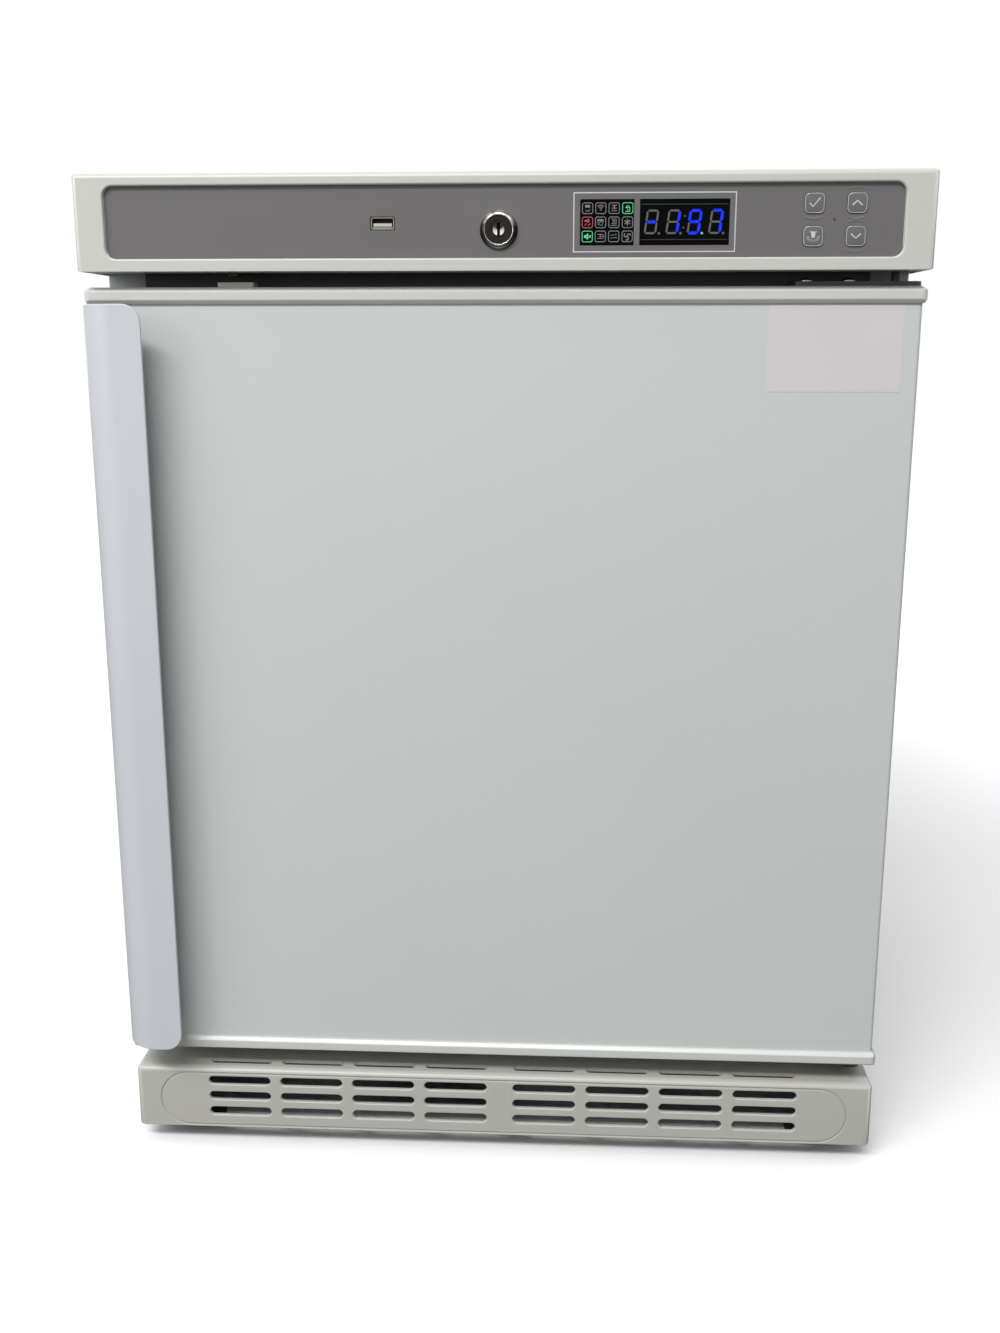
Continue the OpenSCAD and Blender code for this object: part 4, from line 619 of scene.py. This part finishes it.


# bright plating with reflections painted round an axis along Y: each stop is a turn from the left,
# and a colour
def paintedReflectionPlate(name, x, z, roughness, stops):
    material, tree, shader = newFinish(name, roughness, 1.0)
    where = addNode(tree, "ShaderNodeTexCoord").outputs["Object"]
    off = addNode(tree, "ShaderNodeVectorMath", {"operation": "SUBTRACT"},
                  {0: where, 1: (x * mm, 0, z * mm)})
    part = addNode(tree, "ShaderNodeSeparateXYZ", None, {"Vector": off.outputs[0]})
    turn = addNode(tree, "ShaderNodeMath", {"operation": "ARCTAN2"},
                   {0: part.outputs["Z"], 1: part.outputs["X"]})
    share = addNode(tree, "ShaderNodeMapRange", None,
                    {"Value": turn.outputs[0], "From Min": -math.pi, "From Max": math.pi})
    ramp = addNode(tree, "ShaderNodeValToRGB", None, {"Fac": share.outputs[0]})
    marks = ramp.color_ramp.elements
    marks[0].position, marks[0].color = stops[0][0], linear(stops[0][1])
    marks[1].position, marks[1].color = stops[-1][0], linear(stops[-1][1])
    for place, colour in stops[1:-1]:
        marks.new(place).color = linear(colour)
    wear = addNode(tree, "ShaderNodeTexNoise", None,
                   {"Vector": where, "Scale": 1 / (0.8 * mm), "Detail": 2.0})
    gloss = addNode(tree, "ShaderNodeMapRange", None, {
        "Value": wear.outputs["Fac"], "To Min": roughness - 0.04, "To Max": roughness + 0.05})
    tree.links.new(ramp.outputs["Color"], shader.inputs["Base Color"])
    tree.links.new(gloss.outputs[0], shader.inputs["Roughness"])
    return material


# chrome of the ring with painted reflections: bright above, dark brown on the right and dull below
ringPaintedReflection = paintedReflectionPlate("chromeRingPaintedReflection", lock["x"], lock["z"], 0.14, [
    (0.0, "#2C2C2C"), (0.12, "#4A4C4E"), (0.25, "#808385"), (0.36, "#5A4A40"), (0.45, "#35271F"),
    (0.53, "#2A211D"), (0.58, "#908D8A"), (0.63, "#F2F2F2"), (0.68, "#CFCFCF"), (0.75, "#FFFFFF"),
    (0.80, "#868686"), (0.83, "#F4F4F4"), (0.90, "#A8A8A8"), (0.95, "#383838"), (1.0, "#2C2C2C")])
# the funnel beside the keyway has painted reflections: bright below, dark above
funnelPaintedReflection = paintedReflectionPlate("funnelChromePaintedReflection", lock["x"], lock["z"], 0.12, [
    (0.0, "#B8B8B8"), (0.14, "#F6F6F6"), (0.25, "#FFFFFF"), (0.36, "#F6F6F6"), (0.5, "#C4C4C4"),
    (0.6, "#4A4743"), (0.75, "#2A2826"), (0.9, "#4A4743"), (1.0, "#B8B8B8")])
# the lip has painted highlights below and on the right, and painted shade above
lipPaintedHighlight = paintedReflectionPlate("chromeLipPaintedHighlight", lock["x"], lock["z"], 0.12, [
    (0.0, "#8E8E8C"), (0.15, "#D8D8D8"), (0.3, "#E6E6E6"), (0.45, "#C8C6C2"), (0.58, "#E0E0E0"),
    (0.66, "#4A4846"), (0.82, "#302E2C"), (0.92, "#6A6866"), (1.0, "#8E8E8C")])

shape = bmesh.new()
turnedPart(shape, lock["x"], lock["z"], [(lock["bore"], lock["back"]), (lock["neck"], lock["back"]),
                                         (lock["neck"], faceY)]
           + [(radius, faceY - rise) for radius, rise in lock["slope"]])
ring = pieceFrom(shape, "lockRing", ringPaintedReflection, "cabinet", 34)
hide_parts("lock_body")
shape = bmesh.new()
turnedPart(shape, lock["x"], lock["z"],
           arc(lock["lip"], lock["lipY"], lock["lipThick"], 0, -315, 7))
pieceFrom(shape, "lockLip", lipPaintedHighlight, "cabinet", 60)
shape = bmesh.new()
turnedPart(shape, lock["x"], lock["z"], lock["funnel"])
for side in (-1, 1):             # the funnel is cut in two beside the keyway
    bmesh.ops.bisect_plane(shape, geom=shape.verts[:] + shape.edges[:] + shape.faces[:],
                           plane_co=(side * lock["slot"] * mm, 0, 0), plane_no=(side, 0, 0))
gone = [f for f in shape.faces if abs(f.calc_center_median().x) < lock["slot"] * mm]
bmesh.ops.delete(shape, geom=gone, context="FACES")
bmesh.ops.holes_fill(shape, edges=[e for e in shape.edges if e.is_boundary], sides=0)
bmesh.ops.recalc_face_normals(shape, faces=shape.faces)
pieceFrom(shape, "keyFunnel", funnelPaintedReflection, "lock", 34)
print("lock is turned")


# memory-stick socket: a thin steel shell with its pale tongue low in the opening

stick = {
    "x": -73.2, "z": 656.8, "wide": 14.6, "high": 7.3, "corner": 0.9, "wall": 0.6,
    "front": -264.0, "back": -251.6,
    "tongueWide": 11.6, "tongueHigh": 1.9, "tongueDrop": 0.9, "tongueSunk": 0.2,
    "lipWide": 12.6, "lipHigh": 0.8, "lipDrop": 2.65, "lipSunk": 0.1,
    "plateIn": 0.9, "plateThick": 0.6,               # the dark plate that closes the rear
}
# nickel-plated steel of the shell, a little tarnished
socketSteel = evenFinish("nickelPlatedShell", ("#8C8274", "#B4AA9C"), 0.32, 3, 0.5, 0.004, 0.08,
                         1.0)
# the tongue is a pale moulded polyester
tonguePlastic = evenFinish("mouldedTonguePbt", ("#B4B5B2", "#C2C3C0"), 0.4, 4, 0.5, 0.004, 0.05)
depth = stick["back"] - stick["front"]

shape = bmesh.new()
roundedFace(shape, stick["x"], stick["z"], stick["wide"], stick["high"], stick["corner"],
            stick["back"])
wall = bmesh.ops.inset_region(shape, faces=list(shape.faces), use_boundary=True,
                              thickness=stick["wall"] * mm)["faces"]
middle = [f for f in shape.faces if f not in wall]
bmesh.ops.delete(shape, geom=middle, context="FACES")
raised(shape, depth)
shell = pieceFrom(shape, "stickShell", socketSteel, "cabinet")
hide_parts("usb_socket")
shape = bmesh.new()
roundedFace(shape, stick["x"], stick["z"] - stick["tongueDrop"], stick["tongueWide"],
            stick["tongueHigh"], 0.2, stick["back"], 2)
raised(shape, depth - stick["tongueSunk"])
pieceFrom(shape, "stickTongue", tonguePlastic, "cabinet")
shape = bmesh.new()
roundedFace(shape, stick["x"], stick["z"] - stick["lipDrop"], stick["lipWide"], stick["lipHigh"],
            0.2, stick["back"], 2)
raised(shape, depth - stick["lipSunk"])
pieceFrom(shape, "stickLip", socketSteel, "cabinet")
shape = bmesh.new()
roundedFace(shape, stick["x"], stick["z"], stick["wide"] - stick["plateIn"],
            stick["high"] - stick["plateIn"], 0.4, stick["back"] + stick["plateThick"] / 2, 2)
raised(shape, stick["plateThick"])
pieceFrom(shape, "stickBack", blackPlastic, "cabinet")
print("socket is in")


# pale frame printed round the two windows
outline = {"left": 46.9, "right": 147.1, "high": 674.4, "low": 639.2, "width": 1.0}
shape = bmesh.new()
stroke(shape, [(outline["left"], outline["low"]), (outline["right"], outline["low"]),
               (outline["right"], outline["high"]), (outline["left"], outline["high"])],
       outline["width"], faceY, key["ink"], closed=True)
pieceFrom(shape, "windowOutline", paleInk, "cabinet")

# small dark light sensor between the keys
sensor = {"x": 207.8, "z": 657.9, "rear": 0.75, "face": 0.6, "thick": 0.3}


def roundStud(shape, x, z, rear, face, y, thick, segments):
    place = Matrix.Translation(Vector((x, y, z)) * mm)
    bmesh.ops.create_cone(shape, cap_ends=True, segments=segments, radius1=rear * mm,
                          radius2=face * mm, depth=thick * mm,
                          matrix=place @ Matrix.Rotation(math.radians(90), 4, "X"))


shape = bmesh.new()
roundStud(shape, sensor["x"], sensor["z"], sensor["rear"], sensor["face"], faceY - 0.05,
          sensor["thick"], 20)
pieceFrom(shape, "lightSensor", blackPlastic, "cabinet")


# number window: four slanted seven-part digits, read -19.7

digit = {
    "high": 15.2, "wide": 8.3, "litBar": 1.8, "dimBar": 1.15, "gap": 0.22, "slant": 0.13,
    "midZ": 656.95, "columns": (95.2, 108.6, 121.8, 135.0), "y": -264.52, "thick": 0.05,
    "point": 0.75, "pointOut": 0.6, "pointUp": 0.8,
    "colonX": 115.4, "colonRise": 3.4, "colonDot": 0.5,
    "moduleLeft": 88.8, "moduleRight": 142.4, "moduleHigh": 667.4, "moduleLow": 646.4,
    "moduleLine": 0.35,
}
litParts = ("g", "bc", "abcdfg", "abc")
litPoint = 2                     # the point that glows, after the third digit
numberShapes = {"lit": bmesh.new(), "dim": bmesh.new()}


def digitBar(shape, x0, z0, x1, z1, bar):
    along = Vector((x1 - x0, 0, z1 - z0))
    length = along.length
    along.normalize()
    side = Vector((-along.z, 0, along.x)) * bar / 2
    start = Vector((x0, digit["y"], z0)) + along * digit["gap"]
    reach = along * bar / 2
    end = start + along * (length - 2 * digit["gap"])
    ring = [start, start + reach + side, end - reach + side, end, end - reach - side,
            start + reach - side]
    for p in ring:
        p.x += (p.z - digit["midZ"]) * digit["slant"]
    face = shape.faces.new([shape.verts.new(p * mm) for p in ring])
    made = bmesh.ops.extrude_face_region(shape, geom=[face])
    moved = [v for v in made["geom"] if isinstance(v, bmesh.types.BMVert)]
    bmesh.ops.translate(shape, verts=moved, vec=(0, -digit["thick"] * mm, 0))


def lampDot(shape, x, z, radius):
    roundStud(shape, x, z, radius, radius, digit["y"] - 0.02, digit["thick"], 16)


for x, lit in zip(digit["columns"], litParts):
    halfHigh = (digit["high"] - digit["litBar"]) / 2
    halfWide = (digit["wide"] - digit["litBar"]) / 2
    low, mid, high = (digit["midZ"] + k * halfHigh for k in (-1, 0, 1))
    left, right = x - halfWide, x + halfWide
    bars = {"a": (left, high, right, high), "b": (right, mid, right, high),
            "c": (right, low, right, mid), "d": (left, low, right, low),
            "e": (left, low, left, mid), "f": (left, mid, left, high),
            "g": (left, mid, right, mid)}
    for name, ends in bars.items():
        state = "lit" if name in lit else "dim"
        digitBar(numberShapes[state], *ends, digit[state + "Bar"])
pointShape = bmesh.new()
for i, x in enumerate(digit["columns"]):
    lampDot(pointShape if i == litPoint else numberShapes["dim"],
            x + digit["wide"] / 2 + digit["pointOut"],
            digit["midZ"] - digit["high"] / 2 + digit["pointUp"], digit["point"])
for rise in (digit["colonRise"], -digit["colonRise"]):
    lampDot(numberShapes["dim"], digit["colonX"] + rise * digit["slant"], digit["midZ"] + rise,
            digit["colonDot"])
for shape in numberShapes.values():
    bmesh.ops.recalc_face_normals(shape, faces=shape.faces)
pieceFrom(numberShapes["lit"], "litDigits", blueLamp, "cabinet")
pieceFrom(numberShapes["dim"], "dimDigits", dimDiffuser, "cabinet")
pieceFrom(pointShape, "litPoint", whiteLamp, "cabinet")
shape = bmesh.new()
for z in (digit["moduleHigh"], digit["moduleLow"]):
    stroke(shape, [(digit["moduleLeft"], z), (digit["moduleRight"], z)], digit["moduleLine"],
           digit["y"], 0.03)
pieceFrom(shape, "moduleEdges", moduleTrim, "cabinet")
print("number window is in")


# icon window: four by three signs in rounded outlines

icon = {
    "columns": (55.4, 63.6, 71.9, 80.3), "rows": (665.2, 656.8, 648.4),
    "size": 6.4, "radius": 1.2, "line": 0.42, "y": -264.53, "thick": 0.04,
}
iconShapes = {"grey": bmesh.new(), "green": bmesh.new(), "red": bmesh.new()}
fanTurns = [math.degrees(t) for t in (0.3, 2.39, 4.49)]

# each sign: its tone, then strokes of a width and lists of points about the sign's middle
iconSigns = [
    # screen
    ("grey", [(1.6, [[(-1.5, 1.2), (1.5, 1.2)]]),
              (0.5, [[(-1.4, -1.4), (0.6, -1.6), (1.6, -0.8)]])]),
    # waves
    ("grey", [(0.4, [arc(0, -1.4, r, 50, 130, 6) for r in (1.1, 2.2, 3.3)]),
              (0.7, [[(0, -1.5), (0, -1.2)]])]),
    # frost that melts
    ("grey", [(0.4, [[(-1.6, 2), (0, 1.1), (1.6, 2)], [(-1.6, 0), (1.6, 0)],
                     [(0, 2.2), (0, -0.4)], [(-1.4, -1.8), (-0.8, -1)], [(0, -2), (0, -1)],
                     [(1.4, -1.8), (0.8, -1)]])]),
    # padlock
    ("green", [(0.5, [[(-1.3, -1.9), (1.3, -1.9), (1.3, 0.3), (-1.3, 0.3)]]),
               (0.45, [arc(0, 0.4, 1.0, 0, 180, 8)]),
               (0.6, [[(0, -1.1), (0, -0.5)]])]),
    # alarm horn
    ("red", [(0.6, [[(-1.9, 0.9), (-0.6, 1.2), (0.9, 2.0)], [(-1.9, 0.9), (0.9, 0.1)],
                    [(0.9, 2.0), (0.9, 0.1)]]),
             (0.5, [[(-1.6, -1.9), (-0.8, -0.6)], [(0.2, -1.9), (1.9, -0.7)]])]),
    # open drawer
    ("grey", [(0.9, [[(-1.9, 1.4), (1.9, 1.4)]]),
              (0.4, [[(-1.9, 1.4), (-1.4, -1.4), (1.0, -1.8), (1.9, 1.4)]]),
              (0.35, [arc(0.2, -0.4, 0.9, 20, 200, 6)])]),
    # defrost heater
    ("grey", [(0.4, [[(-1.5, 2), (1.5, 2), (1.5, -0.6), (-1.5, -0.6)]]),
              (0.4, [[(-0.9, 1.2), (0.9, 1.2)], [(-0.9, 0.3), (0.9, 0.3)],
                     [(-1.9, -1.8), (1.9, -1.8)]])]),
    # snowflake
    ("grey", [(0.4, [[polar(2.1, t), polar(-2.1, t)] for t in (30, 90, 150)]),
              (0.3, [arc(0, 0, 1.1, 0, 300, 5)])]),
    # muted horn
    ("green", [(1.5, [[(-2.0, 0), (-1.0, 0)]]),
               (0.7, [[(-1.1, 0), (0.3, 1.6)], [(-1.1, 0), (0.3, -1.6)],
                      [(0.3, 1.6), (0.3, -1.6)]]),
               (0.45, [[(1.2, 0.7), (2.2, -0.7)], [(2.2, 0.7), (1.2, -0.7)]])]),
    # battery
    ("grey", [(0.4, [[(-1.8, 1.2), (1.6, 1.2), (1.6, -1.2), (-1.8, -1.2)]]),
              (0.4, [[(2.2, 0.5), (2.2, -0.5)], [(-0.7, 0), (0.6, 0)], [(0, 0.6), (0, -0.6)]])]),
    # link
    ("grey", [(0.4, [[(-2, 0.8), (1.9, 0.8), (1.1, 1.5)],
                     [(2, -0.8), (-1.9, -0.8), (-1.1, -1.5)]])]),
    # fan
    ("grey", [(0.55, [arc(*polar(1.1, t), 1.1, t - 20, t + 160, 6) for t in fanTurns]),
              (0.4, [arc(0, 0, 0.4, 0, 300, 5)])]),
]
for i, (tone, parts) in enumerate(iconSigns):
    x, z = icon["columns"][i % 4], icon["rows"][i // 4]
    stroke(iconShapes[tone], roundedLoop(x, z, icon["size"], icon["size"], icon["radius"]),
           icon["line"], icon["y"], icon["thick"], closed=True)
    for width, lines in parts:
        for points in lines:
            stroke(iconShapes[tone], [(x + dx, z + dz) for dx, dz in points], width, icon["y"],
                   icon["thick"])
pieceFrom(iconShapes["grey"], "greyIcons", iconInk, "cabinet")
pieceFrom(iconShapes["green"], "greenIcons", greenLamp, "cabinet")
pieceFrom(iconShapes["red"], "redIcons", redLamp, "cabinet")
print("icon window is in")


# bare service label on the door
label = {"x": 213.75, "z": 580.0, "wide": 85.5, "high": 54.0, "corner": 0.8, "face": -255.6,
         "thick": 0.15}
shape = bmesh.new()
roundedFace(shape, label["x"], label["z"], label["wide"], label["high"], label["corner"],
            label["face"], 4)
raised(shape, label["thick"])
pieceFrom(shape, "serviceLabel", labelPaper, "door")
